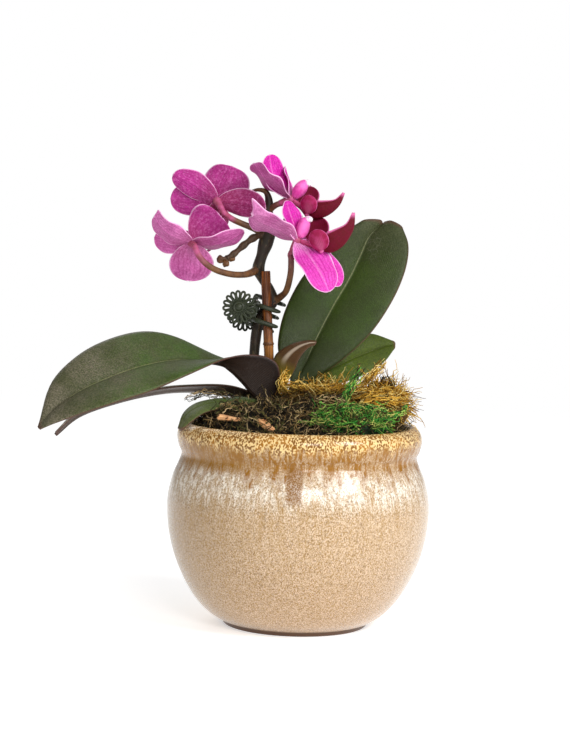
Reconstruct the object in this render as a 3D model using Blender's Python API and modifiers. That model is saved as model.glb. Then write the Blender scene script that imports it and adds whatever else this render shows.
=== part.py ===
"""A potted moth orchid: four open flowers on one staked spike, in a glazed bowl.

The origin is the centre of the pot's flat base, +Z is up and the plant is seen along +Y.
Lengths are written in millimetres, and MM turns them into Blender's metres.
"""
import math
import random

import bmesh
import bpy
from mathutils import Matrix, Vector

MM = 0.001
GAP = 0.35
SHARPEST = 2.5
PLANTING_ROOM = 0.6

# Glazed bowl: radius and height down the outside, then up the inside
POT_OUTSIDE = [(51.6, 92.3), (53.7, 91.6), (55.5, 89.3), (56.1, 85.8), (55.3, 81.6), (54.0, 78.3),
               (55.2, 74.4), (57.9, 68.0), (59.9, 59.5), (60.2, 52.0), (59.3, 42.5), (56.8, 32.0),
               (52.3, 21.4), (46.9, 12.5), (40.9, 6.1), (34.6, 2.1), (33.3, 1.6), (33.0, 0.0)]
POT_INSIDE = [(32.0, 6.0), (42.0, 12.5), (50.0, 25.0), (54.2, 39.0), (55.0, 53.0), (52.6, 68.0),
              (49.0, 78.0), (48.6, 86.0), (49.5, 90.8)]
POT_SIDES = 28

# Bark mix and the moss laid over it
BARK_TOP = 86.0
MOSS_RADIUS = 48.1
MOSS_RIM_HEIGHT = 88.6
MOSS_RISE = 11.5
MOSS_CENTRE = (-6.0, 2.0)
MOSS_BUMP = 1.3

# The short stem that every leaf grows from, and the roots below it
CROWN_CENTRE = (-5.5, -0.5)
CROWN_PROFILE = [(0.0, 106.0), (2.6, 105.2), (4.4, 102.5), (5.2, 98.0), (5.4, 92.0), (4.8, 85.0),
                 (3.0, 80.0), (0.0, 79.0)]
HOLE_RADIUS = 6.6
HOLE_FLOOR = 78.0
HOLE_TOP = 112.0
ROOT_RADIUS = 2.2
ROOT_TURNS = [-160, -100, -45, 8, 62]

# Bamboo stake
STAKE_RADIUS = 2.2
STAKE_TOP = (-17.8, 3.3, 161.9)
STAKE_FOOT = (-7.6, 3.3, 12.0)
STAKE_NODE_HEIGHTS = [30.0, 72.0, 128.6]

# Leaves: a rail along the midrib and one along each edge
LEAF_THICKNESS = 1.8
YOUNG_LEAF_THICKNESS = 1.2
LEAVES = {
    "leaf_right_tall": {
        "middle": [(-5.2, 1.4, 99.5), (-1.0, 8.0, 112.4), (2.1, 12.0, 120.1), (6.0, 16.0, 129.6),
                   (13.9, 21.0, 145.7), (21.6, 25.5, 159.4), (26.5, 29.0, 170.3),
                   (30.3, 31.5, 178.9), (37.1, 34.0, 185.9)],
        "near": [(-6.4, -0.4, 100.5), (-5.2, 6.5, 113.8), (-9.5, 8.0, 120.5), (-11.3, 11.0, 128.6),
                 (-8.6, 16.0, 142.9), (-0.8, 21.0, 159.1), (10.6, 25.0, 171.8),
                 (19.3, 28.0, 181.2), (26.8, 31.0, 186.3)],
        "far": [(-4.2, 2.0, 99.0), (1.9, 7.0, 109.7), (9.1, 8.0, 114.7), (19.6, 10.0, 122.3),
                (32.1, 13.0, 134.7), (41.8, 17.0, 149.9), (47.4, 21.0, 163.9),
                (48.7, 25.0, 175.2), (45.9, 30.0, 183.8)],
        "rows": 14,
    },
    "leaf_right_low": {
        "middle": [(-4.5, 1.4, 95.0), (1.0, 13.0, 108.8), (7.0, 18.0, 112.8), (15.9, 25.0, 117.3),
                   (25.9, 32.0, 121.9), (36.5, 38.0, 125.7), (44.4, 42.0, 127.5)],
        "near": [(-5.6, 2.0, 96.5), (-0.5, 15.0, 111.4), (4.0, 21.0, 119.6), (12.4, 28.0, 126.5),
                 (22.9, 35.0, 131.2), (33.1, 40.0, 132.8), (43.6, 43.0, 129.2)],
        "far": [(-3.6, 0.8, 94.0), (3.8, 12.0, 107.6), (11.3, 15.0, 108.5), (20.7, 20.0, 110.7),
                (29.8, 27.0, 113.8), (38.9, 33.0, 119.4), (44.3, 40.0, 125.8)],
        "rows": 12,
    },
    "leaf_left_broad": {
        "middle": [(-8.0, -1.2, 99.5), (-15.0, -2.5, 102.6), (-21.0, -3.2, 104.4),
                   (-26.2, -4.0, 110.6), (-32.2, -6.0, 116.7), (-38.1, -8.0, 119.8),
                   (-55.5, -14.0, 120.8), (-69.9, -20.0, 118.5), (-84.2, -25.0, 113.5),
                   (-98.3, -29.0, 106.7), (-108.9, -32.0, 98.6), (-115.4, -34.0, 90.3)],
        "near": [(-10.2, -3.4, 100.5), (-10.4, -5.2, 117.6), (-15.5, -5.8, 122.8),
                 (-23.7, -7.5, 123.8), (-30.8, -12.0, 122.9), (-38.2, -18.0, 120.5),
                 (-51.5, -27.0, 114.8), (-66.9, -34.0, 108.2), (-82.7, -39.0, 103.0),
                 (-97.9, -40.0, 97.4), (-107.7, -38.0, 93.2), (-114.8, -35.0, 89.8)],
        "far": [(-8.0, 0.2, 100.0), (-14.0, 0.0, 105.2), (-19.5, 0.6, 109.5), (-25.4, 1.6, 115.5),
                (-32.1, 2.8, 119.6), (-39.0, 3.0, 121.8), (-57.9, -1.0, 130.3),
                (-72.7, -5.0, 132.5), (-88.0, -11.0, 128.8), (-101.2, -18.0, 121.5),
                (-111.7, -25.5, 109.6), (-115.5, -33.0, 91.2)],
        "rows": 16,
    },
    "leaf_left_low": {
        "middle": [(-6.4, 2.0, 91.5), (-14.6, 12.6, 99.4), (-21.2, 13.8, 102.6),
                   (-33.4, 15.0, 105.4), (-49.5, 18.0, 105.7), (-66.1, 22.0, 103.9),
                   (-85.2, 27.0, 98.7), (-104.3, 30.0, 91.5), (-115.7, 32.0, 81.2)],
        "near": [(-7.2, 0.8, 92.0), (-15.6, 11.6, 100.0), (-21.4, 11.6, 104.4),
                 (-33.3, 8.5, 108.0), (-49.0, 8.0, 107.8), (-65.3, 9.0, 106.1),
                 (-84.0, 13.0, 101.1), (-102.1, 18.0, 94.3), (-114.3, 28.0, 83.1)],
        "far": [(-5.4, 2.6, 91.0), (-13.2, 14.8, 98.6), (-20.8, 18.0, 100.8),
                (-33.1, 22.0, 102.5), (-49.9, 29.0, 103.1), (-66.3, 34.0, 101.3),
                (-86.2, 39.0, 96.3), (-105.4, 41.0, 89.1), (-116.1, 35.0, 80.2)],
        "rows": 13,
    },
    "leaf_small": {
        "middle": [(-7.4, -2.0, 93.8), (-14.0, -6.4, 99.6), (-24.9, -9.0, 101.9),
                   (-32.5, -12.0, 102.0), (-40.0, -16.0, 101.4), (-46.0, -19.5, 99.8),
                   (-50.8, -22.5, 96.4), (-53.6, -24.6, 90.8)],
        "near": [(-6.6, -2.8, 93.3), (-13.4, -8.6, 98.2), (-24.7, -13.0, 99.8),
                 (-31.3, -16.5, 100.0), (-38.0, -20.5, 99.4), (-43.2, -24.0, 98.2),
                 (-47.6, -26.6, 95.2), (-52.2, -26.8, 91.0)],
        "far": [(-8.2, -0.8, 94.3), (-14.2, -5.0, 100.8), (-25.1, -4.8, 104.0),
                (-32.8, -7.0, 103.8), (-41.4, -10.5, 102.8), (-48.2, -14.5, 100.8),
                (-52.6, -18.5, 97.0), (-54.4, -22.6, 91.0)],
        "rows": 10,
    },
    "leaf_young": {
        "middle": [(-6.0, -0.6, 101.0), (-9.2, -1.2, 110.0), (-11.6, -1.8, 117.0),
                   (-11.9, -2.3, 122.6), (-8.2, -2.8, 126.4), (-2.7, -2.8, 129.2),
                   (2.8, -2.6, 130.4), (5.8, -2.5, 130.3)],
        "near": [(-5.0, -1.8, 101.0), (-6.2, -3.4, 110.5), (-4.8, -5.4, 114.2),
                 (-3.0, -7.2, 118.2), (-1.7, -7.5, 121.8), (0.6, -6.8, 125.4),
                 (3.2, -4.9, 127.9), (5.5, -4.2, 128.9)],
        "far": [(-5.4, 0.6, 101.0), (-6.5, 1.4, 110.5), (-5.8, 2.0, 114.8), (-4.4, 2.5, 118.8),
                (-2.7, 2.2, 122.4), (-0.5, 0.9, 126.0), (3.1, -0.4, 128.4), (5.6, -0.9, 129.1)],
        "rows": 10,
    },
}

# Flower spike: routes and radii of the stem, its flower stalks and the bud branch
SPIKE_STEM = [(-6.8, 1.6, 97.5, 2.2), (-11.4, 8.3, 102.0, 2.4), (-17.0, 8.7, 107.5, 2.4),
              (-21.0, 8.6, 113.5, 2.4), (-22.0, 8.5, 118.3, 2.4), (-21.8, 8.5, 127.5, 2.4),
              (-20.6, 8.8, 136.8, 2.4), (-17.6, 9.0, 143.8, 2.5), (-14.2, 8.8, 148.0, 2.7),
              (-16.3, 8.5, 154.0, 2.3), (-19.6, 8.0, 158.8, 2.2), (-21.1, 7.5, 163.1, 2.6),
              (-19.6, 6.0, 169.2, 2.3), (-17.9, 5.0, 175.2, 3.1), (-16.3, 4.2, 181.6, 2.6),
              (-17.4, 3.8, 188.9, 2.2), (-17.1, 3.6, 193.9, 1.8), (-18.6, 3.5, 198.0, 1.3),
              (-22.4, 3.6, 198.9, 1.0), (-26.0, 4.6, 197.6, 0.9)]
STALK_RADIUS = 1.5
BUD_BRANCH = [(-18.0, 4.8, 178.8), (-23.0, 2.0, 177.3), (-27.4, 0.0, 174.0), (-31.9, -1.5, 169.8),
              (-35.4, -3.0, 167.3)]
BUDS = [(-38.4, -4.0, 166.9), (-35.8, -3.2, 164.9), (-33.4, -1.2, 167.3)]
BUD_RADIUS = 1.5

# Flowers: centre, lip's size, the ways the flower faces, its lip's top points and its neck leaves,
# its stalk's route, and each petal: tip from the centre, way of its face, width, kind and bow
FLOWERS = {
    "1": {
        "centre": (-40.8, 3.0, 193.3), "lip_size": 1.0, "faces": (0.25, 0.93, 0.10),
        "top": (-0.86, 0.05, 0.50), "neck": (0.45, -0.50, -0.74),
        "stalk": [(-18.2, 5.0, 177.4), (-21.7, 4.6, 180.2), (-25.8, 3.6, 182.0),
                  (-30.0, 2.4, 183.6), (-34.0, 1.4, 185.4)],
        "petals": [
            ((-20.2, -3.0, 11.4), (0.15, 0.90, 0.25), 12.8, "sepal", 2.6),
            ((6.4, 7.0, 16.6), (0.05, 0.92, -0.35), 22.0, "petal", 2.0),
            ((-21.6, 5.0, 0.4), (0.25, 0.95, 0.10), 15.0, "petal", 2.0),
            ((22.6, -6.0, -2.6), (0.20, 0.93, 0.28), 13.5, "sepal", 2.6),
            ((0.5, 4.5, -14.0), (0.10, 0.95, 0.05), 10.5, "sepal", 1.0),
        ],
    },
    "2": {
        "centre": (-51.5, -4.0, 173.8), "lip_size": 1.0, "faces": (0.30, 0.90, 0.10),
        "top": (-0.90, 0.10, 0.38), "neck": (0.25, -0.93, -0.25),
        "stalk": [(-21.1, 7.5, 163.1), (-24.4, 3.6, 160.9), (-28.0, -1.0, 160.0),
                  (-33.6, -6.0, 160.2), (-39.9, -10.0, 161.9), (-44.9, -12.2, 165.0),
                  (-48.4, -12.0, 169.0)],
        "petals": [
            ((-17.6, -6.0, 10.0), (0.25, 0.70, 0.62), 13.0, "sepal", -2.2),
            ((12.2, 0.0, 15.2), (0.05, 0.97, 0.05), 23.0, "petal", 1.6),
            ((-17.5, 6.0, 2.0), (0.30, 0.90, -0.15), 12.5, "petal", 1.6),
            ((23.6, -5.0, 5.6), (-0.20, 0.50, 0.84), 14.0, "sepal", -3.0),
            ((-0.6, -2.0, -17.2), (0.10, 0.96, -0.05), 20.5, "sepal", 2.0),
        ],
    },
    "3": {
        "centre": (-7.5, 1.0, 195.0), "lip_size": 0.9, "faces": (0.97, -0.14, -0.13),
        "top": (0.12, 0.12, 0.98), "neck": (-0.88, 0.10, -0.40),
        "stalk": [(-17.4, 3.8, 187.6), (-16.2, 3.0, 190.2)],
        "petals": [
            ((-11.0, 3.0, 19.4), (0.74, -0.66, 0.20), 15.0, "sepal", -2.4),
            ((-17.0, -9.0, 14.6), (0.50, 0.36, 0.80), 13.5, "petal", -1.2),
            ((-2.0, 17.5, 9.6), (0.88, -0.30, 0.30), 18.5, "petal", 2.0),
            ((-5.4, 3.4, -13.6), (0.92, -0.20, -0.30), 12.0, "sepal", 1.6),
            ((0.0, 13.0, -12.6), (0.90, -0.30, 0.20), 12.0, "sepal", 1.6),
        ],
    },
    "4": {
        "centre": (-3.8, -7.0, 176.2), "lip_size": 1.05, "faces": (0.95, -0.22, 0.20),
        "top": (-0.20, 0.10, 0.97), "neck": (-0.38, 0.20, -0.90),
        "stalk": [(-14.2, 8.8, 148.0), (-10.6, 7.0, 150.2), (-7.9, 2.0, 153.5),
                  (-6.3, -2.6, 161.0), (-6.2, -5.6, 167.6)],
        "petals": [
            ((-6.0, 0.5, 17.6), (0.74, -0.66, 0.12), 11.5, "sepal", 1.0),
            ((-20.6, -12.0, 9.0), (0.33, 0.60, 0.73), 17.5, "petal", 1.0),
            ((3.0, 16.5, 4.5), (0.84, -0.40, 0.25), 17.0, "petal", 2.0),
            ((12.0, -10.0, -22.4), (0.52, -0.80, 0.30), 15.5, "sepal", 1.6),
            ((20.4, 3.0, -19.6), (0.40, -0.80, 0.44), 14.5, "sepal", 1.6),
        ],
    },
}
PETAL_THICKNESS = 0.8
PETAL_ROWS = 6
PETAL_COLUMNS = 4
WIDEST = {"petal": 0.62, "sepal": 0.55}
HEART_RADIUS = 2.4
NECK_RADIUS = 1.5
NECK_LENGTH = 5.0
COLUMN_CENTRE = (3.8, 0.0, 5.2)
COLUMN_SIZE = (3.7, 3.6, 5.4)
COLUMN_LEAN = 28

# Lip, in its flower's own directions: forward, sideways, up. The middle lobe is a deep trough,
# so each point of its keel has the height and the spread of its two sides.
LIP_KEEL = [(8.6, 0.0, -5.2), (13.6, 0.0, -7.4), (18.4, 0.0, -6.2), (22.4, 0.0, -3.0),
            (25.5, 0.0, 1.6), (26.8, 0.0, 7.4)]
LIP_SIDES = [(2.4, 1.6), (6.4, 3.2), (8.0, 4.2), (6.6, 3.6), (3.4, 2.2), (0.6, 1.1)]
LIP_CLAW = [(1.9, 0.0, -0.8), (6.4, 0.0, -3.0), (10.6, 0.0, -5.6)]
LIP_LOBE_CENTRE = (10.6, 4.6, -1.8)
LIP_LOBE_RADIUS = 4.3
LIP_LOBE_SPLAY = 0.65
LIP_THICKNESS = 0.9

# Plastic clip in its own frame: X along the fingers, Z along the pin
CLIP_PLACE = (-22.7, 5.0, 143.2)
CLIP_TILT = 17
PIN_RADIUS = 0.6
PIN_HALF_LENGTH = 5.6
KNUCKLE_HOLE = 0.95
KNUCKLE_RADIUS = 1.65
SPRING_WIRE = 0.3
SPRING_RADIUS = 1.25
SPRING_TURNS = 2.5
SPRING_PITCH = 0.8
SPRING_STEPS = 8
FINGER_RADIUS = 1.1
DAISY_RADIUS = 7.8
DAISY_PETALS = 16
DAISY_THICKNESS = 1.6
DAISY_NOTCH = 0.9
FRONT_FINGERS = {
    3.6: [(0.8, -2.9), (2.4, -5.0), (4.6, -5.7), (8.0, -5.5), (10.4, -4.1), (11.2, -1.8)],
    -3.3: [(0.8, -2.9), (2.4, -5.0), (4.6, -5.7), (8.4, -5.6), (11.4, -4.3), (12.2, -1.8)],
}
BACK_FINGERS = {
    7.0: [(-1.2, 2.7), (0.2, 6.2), (3.6, 8.5), (8.5, 8.5), (11.8, 6.8), (12.6, 4.0)],
    0.3: [(-1.2, 2.7), (0.2, 6.2), (3.6, 8.5), (8.0, 8.5), (10.8, 6.8), (11.5, 4.0)],
    -6.3: [(-1.2, 2.7), (0.2, 6.2), (3.6, 8.5), (7.6, 8.5), (10.6, 6.8), (11.2, 4.0)],
}

# Colours: red, green, blue, roughness
COLOURS = {
    "glaze": (0.72, 0.56, 0.34, 0.18), "bark": (0.16, 0.08, 0.04, 0.90),
    "moss_brown": (0.10, 0.07, 0.03, 0.95), "moss_gold": (0.42, 0.26, 0.06, 0.90),
    "moss_green": (0.05, 0.22, 0.03, 0.85), "chip": (0.50, 0.20, 0.06, 0.80),
    "root": (0.50, 0.52, 0.38, 0.70), "leaf": (0.04, 0.09, 0.02, 0.40),
    "young_leaf": (0.10, 0.05, 0.03, 0.45), "stem": (0.10, 0.05, 0.02, 0.50),
    "bamboo": (0.40, 0.15, 0.03, 0.45), "petal": (0.60, 0.09, 0.44, 0.50),
    "lip": (0.28, 0.01, 0.07, 0.45), "plastic": (0.03, 0.07, 0.03, 0.45),
    "steel": (0.55, 0.55, 0.55, 0.30),
}


def clear_scene():
    """Remove whatever the open file holds."""
    for thing in list(bpy.data.objects):
        bpy.data.objects.remove(thing, do_unlink=True)


def new_collection(name):
    """A collection under the scene's own."""
    collection = bpy.data.collections.new(name)
    bpy.context.scene.collection.children.link(collection)
    return collection


def material(name):
    """One material for each kind of surface, made when it is first asked for."""
    if name in bpy.data.materials:
        return bpy.data.materials[name]
    red, green, blue, roughness = COLOURS[name]
    made = bpy.data.materials.new(name)
    made.use_nodes = True
    shader = made.node_tree.nodes["Principled BSDF"]
    shader.inputs["Base Color"].default_value = (red, green, blue, 1.0)
    shader.inputs["Roughness"].default_value = roughness
    shader.inputs["Metallic"].default_value = 1.0 if name == "steel" else 0.0
    return made


def add_object(name, mesh, finish, collection):
    """An object of the mesh, with its finish, in the collection."""
    mesh.materials.clear()
    mesh.materials.append(material(finish))
    made = bpy.data.objects.new(name, mesh)
    collection.objects.link(made)
    return made


def mesh_from(bm, name):
    """A mesh from a bmesh, with its faces pointing out."""
    bmesh.ops.recalc_face_normals(bm, faces=bm.faces[:])
    mesh = bpy.data.meshes.new(name)
    bm.to_mesh(mesh)
    bm.free()
    return mesh


def settle(thing):
    """Apply an object's modifiers to its mesh."""
    graph = bpy.context.evaluated_depsgraph_get()
    mesh = bpy.data.meshes.new_from_object(thing.evaluated_get(graph))
    thing.modifiers.clear()
    thing.data = mesh


def scaled(points):
    """Points in millimetres as vectors in metres."""
    return [Vector(point[:3]) * MM for point in points]


def along_rail(points, share):
    """A point on the smooth curve through the points, with share running from 0 to 1."""
    place = min(max(share, 0.0), 1.0) * (len(points) - 1)
    index = min(int(place), len(points) - 2)
    t = place - index
    start, end = points[index], points[index + 1]
    before = points[index - 1] if index > 0 else start * 2 - end
    after = points[index + 2] if index + 2 < len(points) else end * 2 - start
    return 0.5 * (start * 2 + (end - before) * t
                  + (before * 2 - start * 5 + end * 4 - after) * t ** 2
                  + (start * 3 - before - end * 3 + after) * t ** 3)


def turned(name, profile, sides, finish, collection):
    """A solid turned round Z from a radius and height profile that runs down its outer side."""
    mesh = bpy.data.meshes.new(name)
    points = [(radius * MM, 0.0, height * MM) for radius, height in profile]
    mesh.from_pydata(points, [(i, i + 1) for i in range(len(points) - 1)], [])
    made = add_object(name, mesh, finish, collection)
    screw = made.modifiers.new("Turn", "SCREW")
    screw.steps = sides
    screw.render_steps = sides
    screw.use_merge_vertices = True
    screw.merge_threshold = 0.00002
    settle(made)
    close_loop(made.data)
    return made


def close_loop(mesh):
    """Weld a turned mesh's seam and poles, and point its faces outwards."""
    bm = bmesh.new()
    bm.from_mesh(mesh)
    bmesh.ops.remove_doubles(bm, verts=bm.verts[:], dist=0.00002)
    bmesh.ops.recalc_face_normals(bm, faces=bm.faces[:])
    bm.to_mesh(mesh)
    bm.free()


def in_triangles(thing):
    """Split an uneven mesh's faces, so that each one is flat."""
    bm = bmesh.new()
    bm.from_mesh(thing.data)
    bmesh.ops.triangulate(bm, faces=bm.faces[:])
    bm.to_mesh(thing.data)
    bm.free()
    return thing


def sheet(name, surface, rows, columns, thickness, finish, collection):
    """A thin closed blade on surface(across, along), across from -1 to 1 and along from 0 to 1."""
    bm = bmesh.new()
    bmesh.ops.create_grid(bm, x_segments=columns, y_segments=rows, size=1.0)
    for vertex in bm.verts:
        vertex.co = surface(vertex.co.x, (vertex.co.y + 1.0) / 2.0)
    bmesh.ops.triangulate(bm, faces=bm.faces[:])
    made = add_object(name, mesh_from(bm, name), finish, collection)
    wall = made.modifiers.new("Wall", "SOLIDIFY")
    wall.thickness = thickness * MM
    wall.offset = 0.0
    settle(made)
    return made


def tube(name, points, radii, finish, collection, resolution=2):
    """A closed round tube through the points, with a radius at each of them."""
    curve = bpy.data.curves.new(name, "CURVE")
    curve.dimensions = "3D"
    curve.bevel_depth = MM
    curve.bevel_resolution = resolution
    curve.use_fill_caps = True
    spline = curve.splines.new("POLY")
    spline.points.add(len(points) - 1)
    for knot, point, radius in zip(spline.points, points, radii):
        knot.co = (*point, 1.0)
        knot.radius = radius
    guide = bpy.data.objects.new(name, curve)
    collection.objects.link(guide)
    graph = bpy.context.evaluated_depsgraph_get()
    mesh = bpy.data.meshes.new_from_object(guide.evaluated_get(graph))
    bpy.data.objects.remove(guide)
    close_loop(mesh)
    return add_object(name, mesh, finish, collection)


def smooth_tube(name, route, radii, steps, finish, collection, resolution=2):
    """A tube whose route and radius pass smoothly through a few given points."""
    points = scaled(route)
    widths = [Vector((radius, 0.0, 0.0)) for radius in radii]
    shares = [step / steps for step in range(steps + 1)]
    return tube(name, [along_rail(points, share) for share in shares],
                [along_rail(widths, share).x for share in shares], finish, collection, resolution)


def ball(name, centre, size, turn, finish, collection, segments=8, rings=6):
    """An egg shape of the three half sizes, turned by a matrix and placed at the centre."""
    bm = bmesh.new()
    bmesh.ops.create_uvsphere(bm, u_segments=segments, v_segments=rings, radius=1.0)
    stretch = Matrix.Diagonal((*size, 1.0))
    bmesh.ops.transform(bm, matrix=turn.to_4x4() @ stretch, verts=bm.verts[:])
    for vertex in bm.verts:
        vertex.co = (vertex.co + Vector(centre)) * MM
    return add_object(name, mesh_from(bm, name), finish, collection)


def box(name, centre, size, finish, collection):
    """A plain block in its own frame."""
    bm = bmesh.new()
    bmesh.ops.create_cube(bm, size=1.0)
    for vertex in bm.verts:
        vertex.co = Vector([(vertex.co[i] * size[i] + centre[i]) * MM for i in range(3)])
    return add_object(name, mesh_from(bm, name), finish, collection)


def fuse(name, pieces, finish, collection):
    """One body from pieces that overlap each other."""
    first, rest = pieces[0], pieces[1:]
    loose = new_collection(name + "_pieces")
    for piece in rest:
        for holder in piece.users_collection:
            holder.objects.unlink(piece)
        loose.objects.link(piece)
    union = first.modifiers.new("Union", "BOOLEAN")
    union.operation = "UNION"
    union.operand_type = "COLLECTION"
    union.collection = loose
    union.solver = "MANIFOLD"
    settle(first)
    for piece in rest:
        bpy.data.objects.remove(piece)
    bpy.data.collections.remove(loose)
    first.name = name
    first.data.name = name
    first.data.materials.clear()
    first.data.materials.append(material(finish))
    for holder in first.users_collection:
        holder.objects.unlink(first)
    collection.objects.link(first)
    return first


def swollen(thing, room, cutters):
    """A cutter of the object's shape, larger by the room all round."""
    bm = bmesh.new()
    bm.from_mesh(thing.data)
    bm.transform(thing.matrix_world)
    bm.normal_update()
    pushes = [vertex.normal * min(vertex.calc_shell_factor(), SHARPEST) * room * MM
              for vertex in bm.verts]
    for vertex, push in zip(bm.verts, pushes):
        vertex.co += push
    mesh = bpy.data.meshes.new(thing.name + "_cutter")
    bm.to_mesh(mesh)
    bm.free()
    made = bpy.data.objects.new(mesh.name, mesh)
    cutters.objects.link(made)
    made.hide_render = True
    made.display_type = "WIRE"
    return made


def carve(thing, others, cutters, room=GAP):
    """Cut the object clear of its neighbours, and keep only its largest piece."""
    for other in others:
        cutter = swollen(other, room, cutters)
        cut = thing.modifiers.new("Cut", "BOOLEAN")
        cut.operation = "DIFFERENCE"
        cut.object = cutter
        cut.solver = "MANIFOLD"
        settle(thing)
        bpy.data.objects.remove(cutter)
    keep_largest(thing.data)


def keep_largest(mesh):
    """Drop the scraps that a cut leaves beside the main body."""
    bm = bmesh.new()
    bm.from_mesh(mesh)
    unseen = set(bm.faces)
    groups = []
    while unseen:
        stack = [unseen.pop()]
        group = list(stack)
        while stack:
            for edge in stack.pop().edges:
                for face in edge.link_faces:
                    if face in unseen:
                        unseen.remove(face)
                        stack.append(face)
                        group.append(face)
        groups.append(group)
    groups.sort(key=len, reverse=True)
    scraps = [face for group in groups[1:] for face in group]
    bmesh.ops.delete(bm, geom=scraps, context="FACES")
    bm.to_mesh(mesh)
    bm.free()


def leaf_surface(rails):
    """The upper face of a leaf, straight from its midrib to each edge."""
    middle = scaled(rails["middle"])
    near = scaled(rails["near"])
    far = scaled(rails["far"])

    def surface(across, along):
        edge = near if across < 0 else far
        return along_rail(middle, along).lerp(along_rail(edge, along), abs(across))
    return surface


def petal_surface(centre, tip, face, width, kind, bow):
    """A petal from the flower's centre to its tip: narrow at its foot, rounded at its end."""
    start = Vector(centre)
    spine = Vector(tip)
    side = spine.cross(Vector(face)).normalized()
    up = side.cross(spine).normalized()
    widest = WIDEST[kind]
    tip_power = 0.46
    foot_power = tip_power * widest / (1.0 - widest)

    def surface(across, along):
        share = 1.0 - (1.0 - along) ** 1.45
        rise = (share / widest) ** foot_power
        fall = ((1.0 - share) / (1.0 - widest)) ** tip_power
        half = max(width / 2 * rise * fall, 1.3 if share < 0.5 else 0.5)
        lift = bow * math.sin(math.pi * share) + 0.9 * across ** 2 * rise * fall
        return (start + spine * share + side * half * across + up * lift) * MM
    return surface


def lip_surface(centre, forward, sideways, up, size):
    """The lip's pointed middle lobe: a deep trough that curls up to its tip."""
    keel = [Vector(point) * size for point in LIP_KEEL]
    sides = [Vector((height, spread, 0.0)) * size for height, spread in LIP_SIDES]

    def surface(across, along):
        point = along_rail(keel, along)
        ahead = along_rail(keel, min(along + 0.02, 1.0)) - along_rail(keel, max(along - 0.02, 0.0))
        inward = Vector((-ahead.z, 0.0, ahead.x)).normalized()
        side = along_rail(sides, along)
        point = point + inward * side.x * abs(across) ** 1.5
        return (Vector(centre) + forward * point.x + sideways * side.y * across
                + up * point.z) * MM
    return surface


def lobe_surface(centre, forward, sideways, up, size, hand):
    """One of the lip's two round side lobes, cupped towards the column."""
    ahead, out, height = Vector(LIP_LOBE_CENTRE) * size
    radius = LIP_LOBE_RADIUS * size

    def surface(across, along):
        turn = math.pi * (0.03 + 0.94 * along)
        reach = radius * math.sin(turn) * across
        rise = -radius * math.cos(turn)
        cup = 1.3 * (1.0 - (reach ** 2 + rise ** 2) / radius ** 2)
        return (Vector(centre) + forward * (ahead + reach)
                + sideways * hand * (out + cup + LIP_LOBE_SPLAY * rise)
                + up * (height + rise)) * MM
    return surface


def frame_of(flower):
    """The directions forward, sideways and up of a flower's lip and column."""
    forward = Vector(flower["faces"]).normalized()
    sideways = Vector(flower["top"]).cross(forward).normalized()
    return forward, sideways, forward.cross(sideways)


def make_pot(collection):
    """The bowl, glazed outside, with a rolled lip and a small unglazed foot."""
    profile = [(0.0, POT_INSIDE[0][1])] + POT_INSIDE + POT_OUTSIDE + [(0.0, 0.0)]
    return turned("pot", profile, POT_SIDES, "glaze", collection)


def make_bark_mix(collection):
    """The potting bark that fills the bowl up to just under its lip."""
    wall = [(radius - GAP, height + (GAP if index == 0 else 0.0))
            for index, (radius, height) in enumerate(POT_INSIDE) if height <= BARK_TOP]
    profile = [(0.0, BARK_TOP)] + wall[::-1] + [(0.0, wall[0][1])]
    return turned("bark_mix", profile, 14, "bark", collection)


def moss_height(x, y):
    """Height of the moss bed's top at a place on it."""
    reach = min(math.hypot(x, y) / MOSS_RADIUS, 1.0)
    lean = math.hypot(x - MOSS_CENTRE[0], y - MOSS_CENTRE[1]) / MOSS_RADIUS
    rise = MOSS_RISE * max(1.0 - lean ** 2, 0.0) ** 0.75
    bump = math.sin(0.33 * x + 1.0) * math.cos(0.29 * y) + 0.6 * math.sin(0.61 * y + 0.43 * x)
    return MOSS_RIM_HEIGHT + 3.0 + (rise + MOSS_BUMP * bump) * (1.0 - reach ** 6)


def make_moss_bed(collection):
    """The mat of dried brown moss over the bark."""
    rings = [0.0, 11.0, 22.0, 32.0, 41.0, 46.0, MOSS_RADIUS]
    profile = [(radius, BARK_TOP + 4.0) for radius in rings]
    profile += [(MOSS_RADIUS, BARK_TOP + GAP), (0.0, BARK_TOP + GAP)]
    made = turned("moss_bed", profile, 18, "moss_brown", collection)
    for vertex in made.data.vertices:
        if vertex.co.z > (BARK_TOP + 3.0) * MM:
            x, y = vertex.co.x / MM, vertex.co.y / MM
            edge = math.hypot(x, y) > MOSS_RADIUS - 0.5
            vertex.co.z = (MOSS_RIM_HEIGHT if edge else moss_height(x, y)) * MM
    return in_triangles(made)


def rough_lump(name, centre, size, finish, collection, seed):
    """A tussock of moss: an egg shape with a seeded uneven surface."""
    rng = random.Random(seed)
    made = ball(name, centre, size, Matrix.Identity(3), finish, collection, 14, 8)
    middle = Vector(centre) * MM
    for vertex in made.data.vertices:
        vertex.co = middle + (vertex.co - middle) * rng.uniform(0.86, 1.08)
    return in_triangles(made)


def make_moss_gold(collection):
    """Golden strand moss: a low ridge behind the mat, with a tussock at the right."""
    parts = [rough_lump("ridge", (13.0, -4.0, 101.0), (20.0, 10.0, 9.8), "moss_gold",
                        collection, 3),
             rough_lump("tussock", (36.0, -2.0, 100.0), (13.0, 15.0, 11.5), "moss_gold",
                        collection, 5),
             rough_lump("collar", (-1.5, -7.5, 101.0), (8.5, 5.0, 6.0), "moss_gold", collection, 9)]
    return fuse("moss_gold", parts, "moss_gold", collection)


def make_moss_green(collection):
    """Fresh green moss along the front right of the lip."""
    return rough_lump("moss_green", (21.5, -30.0, 94.0), (18.0, 10.5, 6.6), "moss_green",
                      collection, 7)


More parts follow.
